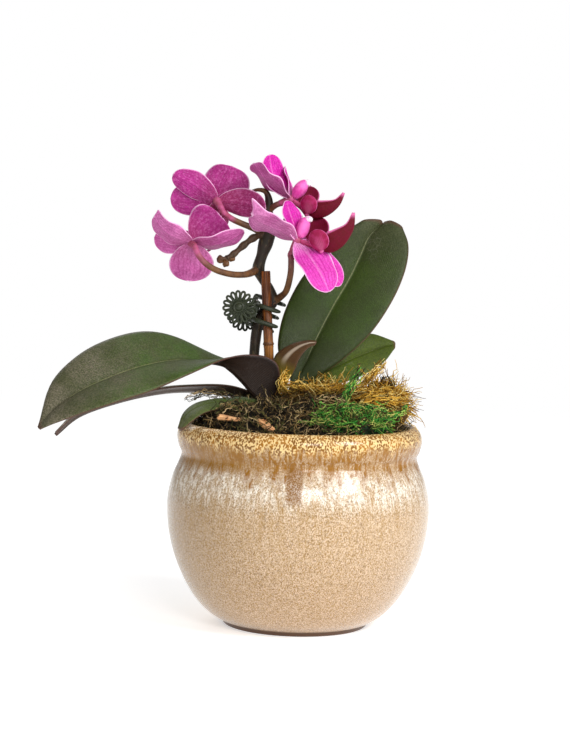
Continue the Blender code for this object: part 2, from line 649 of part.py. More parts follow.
def make_chip(name, centre, size, turn, lean, collection):
    """A broken chip of bark, tapered a little to one end."""
    made = box(name, (0.0, 0.0, 0.0), size, "chip", collection)
    for vertex in made.data.vertices:
        if vertex.co.x > 0.0:
            vertex.co.y *= 0.6
            vertex.co.z *= 0.8
    place = Matrix.Translation(Vector(centre) * MM)
    turned_to = Matrix.Rotation(math.radians(turn), 4, "Z") @ Matrix.Rotation(math.radians(lean), 4, "Y")
    made.data.transform(place @ turned_to)
    return in_triangles(made)


def make_chips(collection):
    """The chips of bark that lie on the moss."""
    return [
        make_chip("bark_chip_left", (-31.5, -30.0, 96.6), (10.5, 4.6, 2.6), -8, 6, collection),
        make_chip("bark_chip_front", (-15.0, -39.5, 94.6), (9.0, 4.8, 2.6), -52, 22, collection),
        make_chip("bark_chip_back", (-22.0, 30.0, 99.5), (10.0, 5.0, 2.6), 30, 10, collection),
    ]


def make_crown(collection):
    """The short stem under the leaves, with five thick roots down into the bark."""
    x, y = CROWN_CENTRE
    stem = turned("stem", CROWN_PROFILE, 14, "root", collection)
    stem.data.transform(Matrix.Translation(Vector((x, y, 0.0)) * MM))
    parts = [stem]
    for index, turn in enumerate(ROOT_TURNS):
        way = Vector((math.cos(math.radians(turn)), math.sin(math.radians(turn)), 0.0))
        start = Vector((x, y, 0.0))
        route = [start + way * reach + Vector((0.0, 0.0, height))
                 for reach, height in ((1.5, 82.5), (9.0, 79.0), (17.0, 69.0), (20.0, 54.0),
                                       (15.0 + 2.0 * index, 36.0))]
        radii = [ROOT_RADIUS] * 4 + [ROOT_RADIUS * 0.6]
        parts.append(smooth_tube(f"root_{index}", route, radii, 4, "root", collection, 1))
    return fuse("crown_and_roots", parts, "root", collection)


def make_planting_hole(collection):
    """The plain round hole, in bark and moss, that the crown stands in."""
    x, y = CROWN_CENTRE
    profile = [(0.0, HOLE_TOP), (HOLE_RADIUS, HOLE_TOP), (HOLE_RADIUS, HOLE_FLOOR), (0.0, HOLE_FLOOR)]
    hole = turned("hole", profile, 12, "bark", collection)
    hole.data.transform(Matrix.Translation(Vector((x, y, 0.0)) * MM))
    return hole


def make_leaves(collection):
    """The six leaves, each a blade folded along its midrib."""
    made = {}
    for name, rails in LEAVES.items():
        young = name == "leaf_young"
        made[name] = sheet(name, leaf_surface(rails), rails["rows"], 4,
                           YOUNG_LEAF_THICKNESS if young else LEAF_THICKNESS,
                           "young_leaf" if young else "leaf", collection)
    return made


def make_stake(collection):
    """The bamboo stake, with a low ring at each of its nodes, tilted to its foot."""
    foot, top = Vector(STAKE_FOOT), Vector(STAKE_TOP)
    length = (top - foot).length
    profile = [(0.0, length), (STAKE_RADIUS - 0.3, length), (STAKE_RADIUS, length - 0.4)]
    for height in sorted(STAKE_NODE_HEIGHTS, reverse=True):
        middle = height - foot.z
        profile += [(STAKE_RADIUS, middle + 1.2), (STAKE_RADIUS + 0.35, middle + 0.3),
                    (STAKE_RADIUS + 0.35, middle - 0.3), (STAKE_RADIUS, middle - 1.2)]
    profile += [(STAKE_RADIUS, 5.0), (0.8, 0.0), (0.0, 0.0)]
    made = turned("stake", profile, 10, "bamboo", collection)
    turn = Vector((0.0, 0.0, 1.0)).rotation_difference(top - foot).to_matrix().to_4x4()
    made.data.transform(Matrix.Translation(foot * MM) @ turn)
    return made


def neck_end(flower):
    """Where a flower's neck stops, behind its centre."""
    return Vector(flower["centre"]) + Vector(flower["neck"]).normalized() * NECK_LENGTH


def make_spike(collection):
    """The flower spike: its stem, a stalk up to each flower, and a branch with small buds."""
    route = [point[:3] for point in SPIKE_STEM]
    radii = [point[3] for point in SPIKE_STEM]
    parts = [smooth_tube("stem", route, radii, 30, "stem", collection, 1)]
    for name, flower in FLOWERS.items():
        neck = Vector(flower["neck"]).normalized()
        end = neck_end(flower) + neck * GAP
        path = list(flower["stalk"]) + [tuple(end + neck * 2.0), tuple(end)]
        widths = [STALK_RADIUS + 0.4] + [STALK_RADIUS] * (len(path) - 1)
        parts.append(smooth_tube("stalk_" + name, path, widths, 3 * len(path) // 2, "stem",
                                 collection, 1))
    parts.append(smooth_tube("bud_branch", BUD_BRANCH, [1.5, 1.2, 1.1, 1.1, 1.0], 8, "stem",
                             collection, 1))
    for index, centre in enumerate(BUDS):
        parts.append(ball(f"bud_{index}", centre, (BUD_RADIUS,) * 3, Matrix.Identity(3), "stem",
                          collection, 7, 4))
        parts.append(tube(f"bud_stem_{index}", scaled([BUD_BRANCH[-1], centre]), [0.8, 0.8],
                          "stem", collection, 0))
    return fuse("flower_spike", parts, "stem", collection)


def make_bloom(name, flower, collection):
    """A flower without its lip: three sepals, two petals, the column and the neck behind."""
    centre = Vector(flower["centre"])
    forward, sideways, up = frame_of(flower)
    parts = [ball("heart", centre, (HEART_RADIUS,) * 3, Matrix.Identity(3), "petal", collection,
                  6, 4)]
    for index, (tip, face, width, kind, bow) in enumerate(flower["petals"]):
        surface = petal_surface(centre, tip, face, width, kind, bow)
        parts.append(sheet(f"petal_{index}", surface, PETAL_ROWS, PETAL_COLUMNS,
                           PETAL_THICKNESS, "petal", collection))
    turn = Matrix((forward, sideways, up)).transposed()
    lean = Matrix.Rotation(math.radians(COLUMN_LEAN), 3, "Y")
    ahead, aside, height = COLUMN_CENTRE
    place = centre + forward * ahead + sideways * aside + up * height
    parts.append(ball("column", place, COLUMN_SIZE, turn @ lean, "petal", collection, 7, 5))
    parts.append(tube("neck", [centre * MM, neck_end(flower) * MM], [NECK_RADIUS + 0.3, NECK_RADIUS],
                      "petal", collection, 1))
    return fuse("bloom_" + name, parts, "petal", collection)


def make_lip(name, flower, collection):
    """A flower's lip: a narrow claw, two upright side lobes and a pointed middle lobe."""
    centre = Vector(flower["centre"])
    forward, sideways, up = frame_of(flower)
    size = flower["lip_size"]

    def placed(point):
        ahead, aside, height = Vector(point) * size
        return (centre + forward * ahead + sideways * aside + up * height) * MM
    parts = [tube("claw", [placed(point) for point in LIP_CLAW], [1.1, 1.2, 2.2], "lip",
                  collection, 1)]
    parts.append(sheet("middle_lobe", lip_surface(centre, forward, sideways, up, size), 6, 4,
                       LIP_THICKNESS, "lip", collection))
    for hand in (-1.0, 1.0):
        lobe = lobe_surface(centre, forward, sideways, up, size, hand)
        parts.append(sheet(f"side_lobe_{hand:.0f}", lobe, 4, 4, LIP_THICKNESS, "lip", collection))
    return fuse("lip_" + name, parts, "lip", collection)


def daisy_outline(radius_at, count):
    """Points round a daisy's rim or one of its slots, in the clip's own frame."""
    return [(radius_at(step / count) * math.cos(2 * math.pi * step / count),
             radius_at(step / count) * math.sin(2 * math.pi * step / count))
            for step in range(count)]


def flat_plate(name, outlines, thickness, finish, collection):
    """A plate cut from flat outlines, the first the rim and the others holes in it."""
    curve = bpy.data.curves.new(name, "CURVE")
    curve.dimensions = "2D"
    curve.fill_mode = "BOTH"
    curve.extrude = thickness / 2 * MM
    for outline in outlines:
        spline = curve.splines.new("POLY")
        spline.points.add(len(outline) - 1)
        for knot, (x, y) in zip(spline.points, outline):
            knot.co = (x * MM, y * MM, 0.0, 1.0)
        spline.use_cyclic_u = True
    guide = bpy.data.objects.new(name, curve)
    collection.objects.link(guide)
    graph = bpy.context.evaluated_depsgraph_get()
    mesh = bpy.data.meshes.new_from_object(guide.evaluated_get(graph))
    bpy.data.objects.remove(guide)
    close_loop(mesh)
    return add_object(name, mesh, finish, collection)


def make_daisy(name, centre, lean, collection):
    """The clip's handle: a flat daisy whose petals are loops, facing along Y."""
    def rim_radius(share):
        notch = 1.0 - abs(math.sin(math.pi * (DAISY_PETALS * share + 0.02)))
        return DAISY_RADIUS - DAISY_NOTCH * notch
    rim = daisy_outline(rim_radius, 3 * DAISY_PETALS)
    outlines = [rim]
    for petal in range(DAISY_PETALS):
        turn = 2 * math.pi * petal / DAISY_PETALS
        slot = [(3.4, 0.0), (6.4, 0.5), (6.4, -0.5)]
        outlines.append([(x * math.cos(turn) - y * math.sin(turn),
                          x * math.sin(turn) + y * math.cos(turn)) for x, y in slot])
    plate = flat_plate(name, outlines, DAISY_THICKNESS, "plastic", collection)
    stand = Matrix.Rotation(math.radians(90), 4, "X")
    slope = Matrix.Rotation(math.radians(lean), 4, "Z")
    plate.data.transform(Matrix.Translation(Vector(centre) * MM) @ slope @ stand)
    return plate


def knuckle(name, low, high, collection):
    """A ring round the pin."""
    profile = [(KNUCKLE_HOLE, low), (KNUCKLE_HOLE, high), (KNUCKLE_RADIUS, high),
               (KNUCKLE_RADIUS, low), (KNUCKLE_HOLE, low)]
    return turned(name, profile, 9, "plastic", collection)


def make_clip_half(name, hand, knuckles, body, fingers, daisy, lean, collection):
    """One half of the clip: knuckles on the pin, fingers round the stems and a daisy handle."""
    parts = [box("body", *body, "plastic", collection)]
    for index, (low, high) in enumerate(knuckles):
        parts.append(knuckle(f"knuckle_{index}", low, high, collection))
        parts.append(box(f"web_{index}", (-0.5, hand * 1.7, (low + high) / 2),
                         (2.0, 1.0, high - low), "plastic", collection))
    for level, path in fingers.items():
        route = [(x, y, level) for x, y in path]
        radii = [FINGER_RADIUS] * (len(route) - 1) + [FINGER_RADIUS * 0.7]
        parts.append(smooth_tube(f"finger_{level}", route, radii, 6, "plastic", collection, 1))
    parts.append(smooth_tube("arm", [(body[0][0], body[0][1], 0.0),
                                     ((body[0][0] + daisy[0]) / 2, hand * 5.2, daisy[2] / 2),
                                     (daisy[0], daisy[1], daisy[2])], [1.5, 1.5, 1.7], 5, "plastic",
                             collection, 1))
    parts.append(make_daisy("daisy", daisy, lean, collection))
    parts.append(ball("hub", (daisy[0], daisy[1] + hand * 0.7, daisy[2]), (2.6, 1.2, 2.6),
                      Matrix.Identity(3), "plastic", collection, 8, 5))
    made = fuse(name, parts, "plastic", collection)
    made.location = Vector(CLIP_PLACE) * MM
    made.rotation_euler = (0.0, math.radians(CLIP_TILT), 0.0)
    return made


def make_clip(collection):
    """The flower-shaped clip that ties the spike to the stake: two halves, pin and spring."""
    front = make_clip_half("clip_front", -1.0, [(1.7, 3.4), (-3.4, -1.7)],
                           ((0.0, -2.7, 0.0), (3.4, 1.6, 8.4)), FRONT_FINGERS,
                           (-7.0, -8.0, 0.0), -12, collection)
    back = make_clip_half("clip_back", 1.0, [(3.7, 5.2), (-5.2, -3.7)],
                          ((-1.2, 2.6, 0.3), (2.6, 1.6, 14.6)), BACK_FINGERS,
                          (-3.8, 8.2, -3.2), 10, collection)
    pin = turned("clip_pin", [(0.0, PIN_HALF_LENGTH), (PIN_RADIUS, PIN_HALF_LENGTH),
                              (PIN_RADIUS, -PIN_HALF_LENGTH), (0.0, -PIN_HALF_LENGTH)],
                 10, "steel", collection)
    steps = int(SPRING_TURNS * SPRING_STEPS)
    coil = [(SPRING_RADIUS * math.cos(2 * math.pi * step / SPRING_STEPS),
             SPRING_RADIUS * math.sin(2 * math.pi * step / SPRING_STEPS),
             (step / SPRING_STEPS - SPRING_TURNS / 2) * SPRING_PITCH) for step in range(steps + 1)]
    spring = tube("clip_spring", scaled(coil), [SPRING_WIRE] * len(coil), "steel", collection, 0)
    for piece in (pin, spring):
        piece.location = front.location
        piece.rotation_euler = front.rotation_euler
    return [front, back, pin, spring]


def finish_shading(collection):
    """Shade the pieces smooth, with an edge kept where two faces meet sharply."""
    for thing in collection.objects:
        thing.data.shade_smooth()
        thing.data.set_sharp_from_angle(angle=math.radians(40))


def main():
    clear_scene()
    plant = new_collection("potted_moth_orchid")
    cutters = new_collection("cutters")
    pot = make_pot(plant)
    bark = make_bark_mix(plant)
    moss = make_moss_bed(plant)
    gold = make_moss_gold(plant)
    green = make_moss_green(plant)
    crown = make_crown(plant)
    stake = make_stake(plant)
    leaves = make_leaves(plant)
    spike = make_spike(plant)
    for name, flower in FLOWERS.items():
        bloom = make_bloom(name, flower, plant)
        carve(bloom, [make_lip(name, flower, plant)], cutters)
    make_clip(plant)
    chips = make_chips(plant)

    for leaf in leaves.values():
        carve(leaf, [crown], cutters)
    carve(spike, [crown], cutters)
    carve(leaves["leaf_small"], [leaves["leaf_left_broad"]], cutters, PLANTING_ROOM)
    stems = [crown, stake, spike] + list(leaves.values())
    hole = make_planting_hole(cutters)
    carve(bark, [hole, crown, stake], cutters)
    carve(green, [pot, moss, gold] + stems, cutters)
    carve(gold, [moss] + stems, cutters)
    for chip in chips:
        carve(chip, [moss], cutters)
    carve(moss, [hole] + stems, cutters, PLANTING_ROOM)
    bpy.data.objects.remove(hole)
    finish_shading(plant)


main()
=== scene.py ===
"""Fine surfaces and finishes for a potted moth orchid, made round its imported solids.

Run as a script, it makes every piece with one operator for each kind. Lengths in the tables are
millimetres and angles degrees, with the centre of the pot's base at the origin, +Z up and the plant
seen along +Y.
"""
import math
import random

import bmesh
import bpy
from bpy.props import FloatProperty, FloatVectorProperty, IntProperty, PointerProperty
from mathutils import Matrix, Quaternion, Vector, noise


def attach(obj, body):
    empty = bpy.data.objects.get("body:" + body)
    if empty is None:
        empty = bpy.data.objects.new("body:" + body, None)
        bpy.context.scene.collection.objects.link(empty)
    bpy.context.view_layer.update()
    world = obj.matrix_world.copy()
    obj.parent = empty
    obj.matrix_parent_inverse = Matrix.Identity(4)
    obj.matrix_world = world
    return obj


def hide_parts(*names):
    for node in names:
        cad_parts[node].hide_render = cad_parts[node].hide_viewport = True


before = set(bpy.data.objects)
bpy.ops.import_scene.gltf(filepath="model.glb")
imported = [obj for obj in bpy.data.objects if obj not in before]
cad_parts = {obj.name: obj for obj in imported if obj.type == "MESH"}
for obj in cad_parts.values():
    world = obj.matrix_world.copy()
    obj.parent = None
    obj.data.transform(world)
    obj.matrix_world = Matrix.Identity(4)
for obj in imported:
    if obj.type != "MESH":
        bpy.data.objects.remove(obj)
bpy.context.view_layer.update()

bl_info = {
    "name": "Potted moth orchid",
    "version": (1, 0, 0),
    "blender": (4, 5, 0),
    "location": "View3D > Sidebar > Orchid",
    "description": "Fine surfaces and finishes for a potted moth orchid",
    "category": "Object",
}

MM = 0.001
PLANT = "potted_plant"
JAW = "clip_jaw"

# Glazed bowl: radius and height up the inside, over the lip and down the outside
POT_INSIDE = [(32.0, 6.0), (42.0, 12.5), (50.0, 25.0), (54.2, 39.0), (55.0, 53.0), (52.6, 68.0),
              (49.0, 78.0), (48.6, 86.0), (49.5, 90.8)]
POT_OUTSIDE = [(51.6, 92.3), (53.7, 91.6), (55.5, 89.3), (56.1, 85.8), (55.3, 81.6), (54.0, 78.3),
               (55.2, 74.4), (57.9, 68.0), (59.9, 59.5), (60.2, 52.0), (59.3, 42.5), (56.8, 32.0),
               (52.3, 21.4), (46.9, 12.5), (40.9, 6.1), (34.6, 2.1)]
POT_FOOT = [(33.3, 1.6), (33.2, 0.5), (32.7, 0.0), (30.0, 0.0), (0.05, 0.0)]

# The short stem that every leaf grows from, and the roots below it
CROWN_CENTRE = (-5.5, -0.5)
CROWN_PROFILE = [(0.05, 106.0), (2.6, 105.2), (4.4, 102.5), (5.2, 98.0), (5.4, 92.0), (4.8, 85.0),
                 (3.0, 80.0), (0.05, 79.0)]
ROOT_RADIUS = 2.2
ROOT_TURNS = [-160, -100, -45, 8, 62]

# Bamboo stake
STAKE_RADIUS = 2.2
STAKE_TOP = (-17.8, 3.3, 161.9)
STAKE_FOOT = (-7.6, 3.3, 12.0)
STAKE_NODE_HEIGHTS = [30.0, 72.0, 128.6]
# The swelling at each node: height from its middle, and how far it stands out
STAKE_NODE_SWELL = [(1.6, 0.0), (0.9, 0.08), (0.45, 0.32), (0.0, 0.42), (-0.3, 0.22), (-0.5, 0.02),
                    (-0.9, 0.12), (-1.8, 0.0)]
# Edges that turn by more than the crease stay sharp
STAKE_CREASE = 55

# Leaves: a rail along the midrib and one along each edge
LEAVES = {
    "leaf_right_tall": {
        "middle": [(-5.2, 1.4, 99.5), (-1.0, 8.0, 112.4), (2.1, 12.0, 120.1), (6.0, 16.0, 129.6),
                   (13.9, 21.0, 145.7), (21.6, 25.5, 159.4), (26.5, 29.0, 170.3),
                   (30.3, 31.5, 178.9), (37.1, 34.0, 185.9)],
        "near": [(-6.4, -0.4, 100.5), (-5.2, 6.5, 113.8), (-9.5, 8.0, 120.5), (-11.3, 11.0, 128.6),
                 (-8.6, 16.0, 142.9), (-0.8, 21.0, 159.1), (10.6, 25.0, 171.8),
                 (19.3, 28.0, 181.2), (26.8, 31.0, 186.3)],
        "far": [(-4.2, 2.0, 99.0), (1.9, 7.0, 109.7), (9.1, 8.0, 114.7), (19.6, 10.0, 122.3),
                (32.1, 13.0, 134.7), (41.8, 17.0, 149.9), (47.4, 21.0, 163.9),
                (48.7, 25.0, 175.2), (45.9, 30.0, 183.8)],
        "bow": 1.2, "wave": 0.5, "round": 1.6, "notch": 2.0,
    },
    "leaf_right_low": {
        "middle": [(-4.5, 1.4, 95.0), (1.0, 13.0, 108.8), (7.0, 18.0, 112.8), (15.9, 25.0, 117.3),
                   (25.9, 32.0, 121.9), (36.5, 38.0, 125.7), (44.4, 42.0, 127.5)],
        "near": [(-5.6, 2.0, 96.5), (-0.5, 15.0, 111.4), (4.0, 21.0, 119.6), (12.4, 28.0, 126.5),
                 (22.9, 35.0, 131.2), (33.1, 40.0, 132.8), (43.6, 43.0, 129.2)],
        "far": [(-3.6, 0.8, 94.0), (3.8, 12.0, 107.6), (11.3, 15.0, 108.5), (20.7, 20.0, 110.7),
                (29.8, 27.0, 113.8), (38.9, 33.0, 119.4), (44.3, 40.0, 125.8)],
        "bow": 0.9, "wave": 0.3, "round": 0.6, "notch": 0.3,
    },
    "leaf_left_broad": {
        "middle": [(-8.0, -1.2, 99.5), (-15.0, -2.5, 102.6), (-21.0, -3.2, 104.4),
                   (-26.2, -4.0, 110.6), (-32.2, -6.0, 116.7), (-38.1, -8.0, 119.8),
                   (-55.5, -14.0, 120.8), (-69.9, -20.0, 118.5), (-84.2, -25.0, 113.5),
                   (-98.3, -29.0, 106.7), (-108.9, -32.0, 98.6), (-115.4, -34.0, 90.3)],
        "near": [(-10.2, -3.4, 100.5), (-10.4, -5.2, 117.6), (-15.5, -5.8, 122.8),
                 (-23.7, -7.5, 123.8), (-30.8, -12.0, 122.9), (-38.2, -18.0, 120.5),
                 (-51.5, -27.0, 114.8), (-66.9, -34.0, 108.2), (-82.7, -39.0, 103.0),
                 (-97.9, -40.0, 97.4), (-107.7, -38.0, 93.2), (-114.8, -35.0, 89.8)],
        "far": [(-8.0, 0.2, 100.0), (-14.0, 0.0, 105.2), (-19.5, 0.6, 109.5), (-25.4, 1.6, 115.5),
                (-32.1, 2.8, 119.6), (-39.0, 3.0, 121.8), (-57.9, -1.0, 130.3),
                (-72.7, -5.0, 132.5), (-88.0, -11.0, 128.8), (-101.2, -18.0, 121.5),
                (-111.7, -25.5, 109.6), (-115.5, -33.0, 91.2)],
        "bow": 1.0, "wave": 0.5, "round": 0.3, "notch": 0.0,
    },
    "leaf_left_low": {
        "middle": [(-6.4, 2.0, 91.5), (-14.6, 12.6, 99.4), (-21.2, 13.8, 102.6),
                   (-33.4, 15.0, 105.4), (-49.5, 18.0, 105.7), (-66.1, 22.0, 103.9),
                   (-85.2, 27.0, 98.7), (-104.3, 30.0, 91.5), (-115.7, 32.0, 81.2)],
        "near": [(-7.2, 0.8, 92.0), (-15.6, 11.6, 100.0), (-21.4, 11.6, 104.4),
                 (-33.3, 8.5, 108.0), (-49.0, 8.0, 107.8), (-65.3, 9.0, 106.1),
                 (-84.0, 13.0, 101.1), (-102.1, 18.0, 94.3), (-114.3, 28.0, 83.1)],
        "far": [(-5.4, 2.6, 91.0), (-13.2, 14.8, 98.6), (-20.8, 18.0, 100.8),
                (-33.1, 22.0, 102.5), (-49.9, 29.0, 103.1), (-66.3, 34.0, 101.3),
                (-86.2, 39.0, 96.3), (-105.4, 41.0, 89.1), (-116.1, 35.0, 80.2)],
        "bow": 0.6, "wave": 0.3, "round": 0.3, "notch": 0.0,
    },
    "leaf_small": {
        "middle": [(-7.4, -2.0, 93.8), (-14.0, -6.4, 99.6), (-24.9, -9.0, 101.9),
                   (-32.5, -12.0, 102.0), (-40.0, -16.0, 101.4), (-46.0, -19.5, 99.8),
                   (-50.8, -22.5, 96.4), (-53.6, -24.6, 90.8)],
        "near": [(-6.6, -2.8, 93.3), (-13.4, -8.6, 98.2), (-24.7, -13.0, 99.8),
                 (-31.3, -16.5, 100.0), (-38.0, -20.5, 99.4), (-43.2, -24.0, 98.2),
                 (-47.6, -26.6, 95.2), (-52.2, -26.8, 91.0)],
        "far": [(-8.2, -0.8, 94.3), (-14.2, -5.0, 100.8), (-25.1, -4.8, 104.0),
                (-32.8, -7.0, 103.8), (-41.4, -10.5, 102.8), (-48.2, -14.5, 100.8),
                (-52.6, -18.5, 97.0), (-54.4, -22.6, 91.0)],
        "bow": 0.6, "wave": 0.3, "round": 0.5, "notch": 0.0,
    },
    "leaf_young": {
        "middle": [(-6.0, -0.6, 101.0), (-9.2, -1.2, 110.0), (-11.6, -1.8, 117.0),
                   (-11.9, -2.3, 122.6), (-8.2, -2.8, 126.4), (-2.7, -2.8, 129.2),
                   (2.8, -2.6, 130.4), (5.8, -2.5, 130.3)],
        "near": [(-5.0, -1.8, 101.0), (-6.2, -3.4, 110.5), (-4.8, -5.4, 114.2),
                 (-3.0, -7.2, 118.2), (-1.7, -7.5, 121.8), (0.6, -6.8, 125.4),
                 (3.2, -4.9, 127.9), (5.5, -4.2, 128.9)],
        "far": [(-5.4, 0.6, 101.0), (-6.5, 1.4, 110.5), (-5.8, 2.0, 114.8), (-4.4, 2.5, 118.8),
                (-2.7, 2.2, 122.4), (-0.5, 0.9, 126.0), (3.1, -0.4, 128.4), (5.6, -0.9, 129.1)],
        "bow": -0.8, "wave": 0.2, "round": 0.6, "notch": 0.0,
    },
}
LEAF_ROWS = 72
LEAF_COLUMNS = 24
# Shares of the set thickness, for the young leaf and the grown ones
YOUNG_SHARE = 0.6
GROWN_SHARE = 0.85

# Flower spike: routes and radii of the stem, its flower stalks and the bud branch
SPIKE_STEM = [(-6.8, 1.6, 97.5, 2.2), (-11.4, 8.3, 102.0, 2.4), (-17.0, 8.7, 107.5, 2.4),
              (-21.0, 8.6, 113.5, 2.4), (-22.0, 8.5, 118.3, 2.4), (-21.8, 8.5, 127.5, 2.4),
              (-20.6, 8.8, 136.8, 2.4), (-17.6, 9.0, 143.8, 2.5), (-14.2, 8.8, 148.0, 2.7),
              (-16.3, 8.5, 154.0, 2.3), (-19.6, 8.0, 158.8, 2.2), (-21.1, 7.5, 163.1, 2.6),
              (-19.6, 6.0, 169.2, 2.3), (-17.9, 5.0, 175.2, 3.1), (-16.3, 4.2, 181.6, 2.6),
              (-17.4, 3.8, 188.9, 2.2), (-17.1, 3.6, 193.9, 1.8), (-18.6, 3.5, 198.0, 1.3),
              (-22.4, 3.6, 198.9, 1.0), (-26.0, 4.6, 197.6, 0.9)]
# Scales that clasp the stem: which point of it, the way they face, and their length
BRACTS = [(8, (1.0, -0.6, 0.0), 5.0), (11, (-1.0, -0.5, 0.0), 5.0), (13, (0.8, -0.8, 0.1), 4.5),
          (14, (-1.0, -0.4, 0.0), 4.5)]
STALK_RADIUS = 1.5
# Tone along each flower's stalk, from brown to the pink of the flower
STALK_TONES = {
    "1": lambda along: 0.45 + 0.6 * smooth_step(0.45, 0.8, along),
    "2": lambda along: 0.45 + 0.55 * smooth_step(0.4, 0.9, along),
    "3": lambda along: 0.45 + 0.3 * along, "4": lambda along: 0.35 + 0.5 * along,
}
BUD_BRANCH = [(-18.0, 4.8, 178.8), (-23.0, 2.0, 177.3), (-27.4, 0.0, 174.0), (-31.9, -1.5, 169.8),
              (-35.4, -3.0, 167.3)]
BUDS = [(-38.4, -4.0, 166.9), (-35.8, -3.2, 164.9), (-33.4, -1.2, 167.3)]
BUD_RADIUS = 1.5

# Flowers: centre, lip's size, the ways the flower faces, its lip's top points and its neck leaves,
# its stalk's route, and each petal: tip from the centre, way of its face, width, kind, bow, the
# depth of its margin's ruffle and the rise of its curled tip
FLOWERS = {
    "1": {
        "centre": (-40.8, 3.0, 193.3), "lip_size": 1.0, "faces": (0.25, 0.93, 0.10),
        "top": (-0.86, 0.05, 0.50), "neck": (0.45, -0.50, -0.74),
        "stalk": [(-18.2, 5.0, 177.4), (-21.7, 4.6, 180.2), (-25.8, 3.6, 182.0),
                  (-30.0, 2.4, 183.6), (-34.0, 1.4, 185.4)],
        "petals": [
            ((-20.2, -3.0, 11.4), (0.15, 0.90, 0.25), 12.8, "sepal", 2.6, 0.5, 0.6),
            ((6.2, 7.0, 15.8), (0.05, 0.92, -0.35), 21.5, "broad", 2.0, 0.9, -0.8),
            ((-21.6, 5.0, 0.4), (0.25, 0.95, 0.10), 15.0, "petal", 2.0, 0.8, 0.0),
            ((22.6, -6.0, -2.6), (0.20, 0.93, 0.28), 13.5, "sepal", 2.6, 0.5, -0.8),
            ((0.5, 4.5, -14.0), (0.10, 0.95, 0.05), 10.5, "sepal", 1.0, 0.4, 0.0),
        ],
    },
    "2": {
        "centre": (-51.5, -4.0, 173.8), "lip_size": 1.0, "faces": (0.30, 0.90, 0.10),
        "top": (-0.90, 0.10, 0.38), "neck": (0.25, -0.93, -0.25),
        "stalk": [(-21.1, 7.5, 163.1), (-24.4, 3.6, 160.9), (-28.0, -1.0, 160.0),
                  (-33.6, -6.0, 160.2), (-39.9, -10.0, 161.9), (-44.9, -12.2, 165.0),
                  (-48.4, -12.0, 169.0)],
        "petals": [
            ((-17.6, -6.0, 10.0), (0.25, 0.70, 0.62), 13.0, "sepal", -2.2, 0.7, 1.6),
            ((12.9, 0.0, 12.4), (0.05, 0.97, 0.05), 22.5, "broad", 1.6, 0.9, 0.0),
            ((-17.5, 6.0, 2.0), (0.30, 0.90, -0.15), 12.5, "petal", 1.6, 0.7, 0.0),
            ((23.6, -5.0, 5.6), (-0.20, 0.50, 0.84), 14.0, "sepal", -3.0, 0.6, 0.6),
            ((-0.6, -2.0, -17.2), (0.10, 0.96, -0.05), 20.5, "sepal", 2.0, 0.7, 0.0),
        ],
    },
    "3": {
        "centre": (-7.5, 1.0, 195.0), "lip_size": 0.9, "faces": (0.97, -0.14, -0.13),
        "top": (0.12, 0.12, 0.98), "neck": (-0.88, 0.10, -0.40),
        "stalk": [(-17.4, 3.8, 187.6), (-16.2, 3.0, 190.2)],
        "petals": [
            ((-10.6, 3.0, 19.6), (0.74, -0.66, 0.20), 16.0, "sepal", -2.4, 0.6, 0.8),
            ((-16.8, -8.4, 15.0), (0.50, 0.36, 0.80), 17.0, "broad", -1.2, 1.3, 0.6),
            ((-2.0, 17.5, 9.6), (0.88, -0.30, 0.30), 18.5, "petal", 2.0, 0.8, 0.0),
            ((-5.4, 3.4, -13.6), (0.92, -0.20, -0.30), 12.0, "sepal", 1.6, 0.4, 0.0),
            ((0.0, 13.0, -12.6), (0.90, -0.30, 0.20), 12.0, "sepal", 1.6, 0.4, 0.0),
        ],
    },
    "4": {
        "centre": (-3.8, -7.0, 176.2), "lip_size": 1.05, "faces": (0.95, -0.22, 0.20),
        "top": (-0.20, 0.10, 0.97), "neck": (-0.38, 0.20, -0.90),
        "stalk": [(-14.2, 8.8, 148.0), (-10.6, 7.0, 150.2), (-7.9, 2.0, 153.5),
                  (-6.3, -2.6, 161.0), (-6.2, -5.6, 167.6)],
        "petals": [
            ((-6.0, 0.5, 17.6), (0.74, -0.66, 0.12), 11.5, "sepal", 1.0, 0.5, 0.8),
            ((-20.6, -12.0, 9.0), (0.33, 0.60, 0.73), 17.5, "petal", 1.0, 1.0, 1.6),
            ((3.0, 16.5, 4.5), (0.84, -0.40, 0.25), 17.0, "petal", 2.0, 0.8, 0.0),
            ((15.2, -10.0, -22.0), (0.52, -0.80, 0.30), 18.5, "sepal", 1.6, 0.9, -0.8),
            ((20.4, 3.0, -19.6), (0.40, -0.80, 0.44), 14.5, "sepal", 1.6, 0.6, 0.6),
        ],
    },
}
# Where each kind of petal is widest along its length, and how it tapers to its tip: lower is blunter
WIDEST = {"petal": 0.62, "sepal": 0.55, "broad": 0.66}
TIP_POWER = {"petal": 0.46, "sepal": 0.46, "broad": 0.36}
# Petals with a pointed corner: its side, and how far it is drawn out
CORNERS = {("4", 1): (-1.0, (-4.4, 0.0, 6.2)), ("2", 0): (-1.0, (-0.6, 0.0, 2.2))}
# Petals whose back is redder (above zero) or paler (below zero) than the others
BACK_TONES = {("1", 1): 0.25, ("1", 3): 0.6, ("1", 4): 0.8, ("2", 0): -0.5, ("2", 1): 0.2,
              ("2", 2): -0.4, ("2", 3): -0.42, ("2", 4): -0.46, ("3", 1): -0.4, ("4", 1): -0.6,
              ("4", 3): -0.5, ("4", 4): -0.4}
PETAL_ROWS = 44
PETAL_COLUMNS = 28
NECK_RADIUS = 1.5
NECK_LENGTH = 5.0
COLUMN_CENTRE = (3.8, 0.0, 5.2)
COLUMN_SIZE = (3.0, 3.1, 5.0)
COLUMN_LEAN = 28

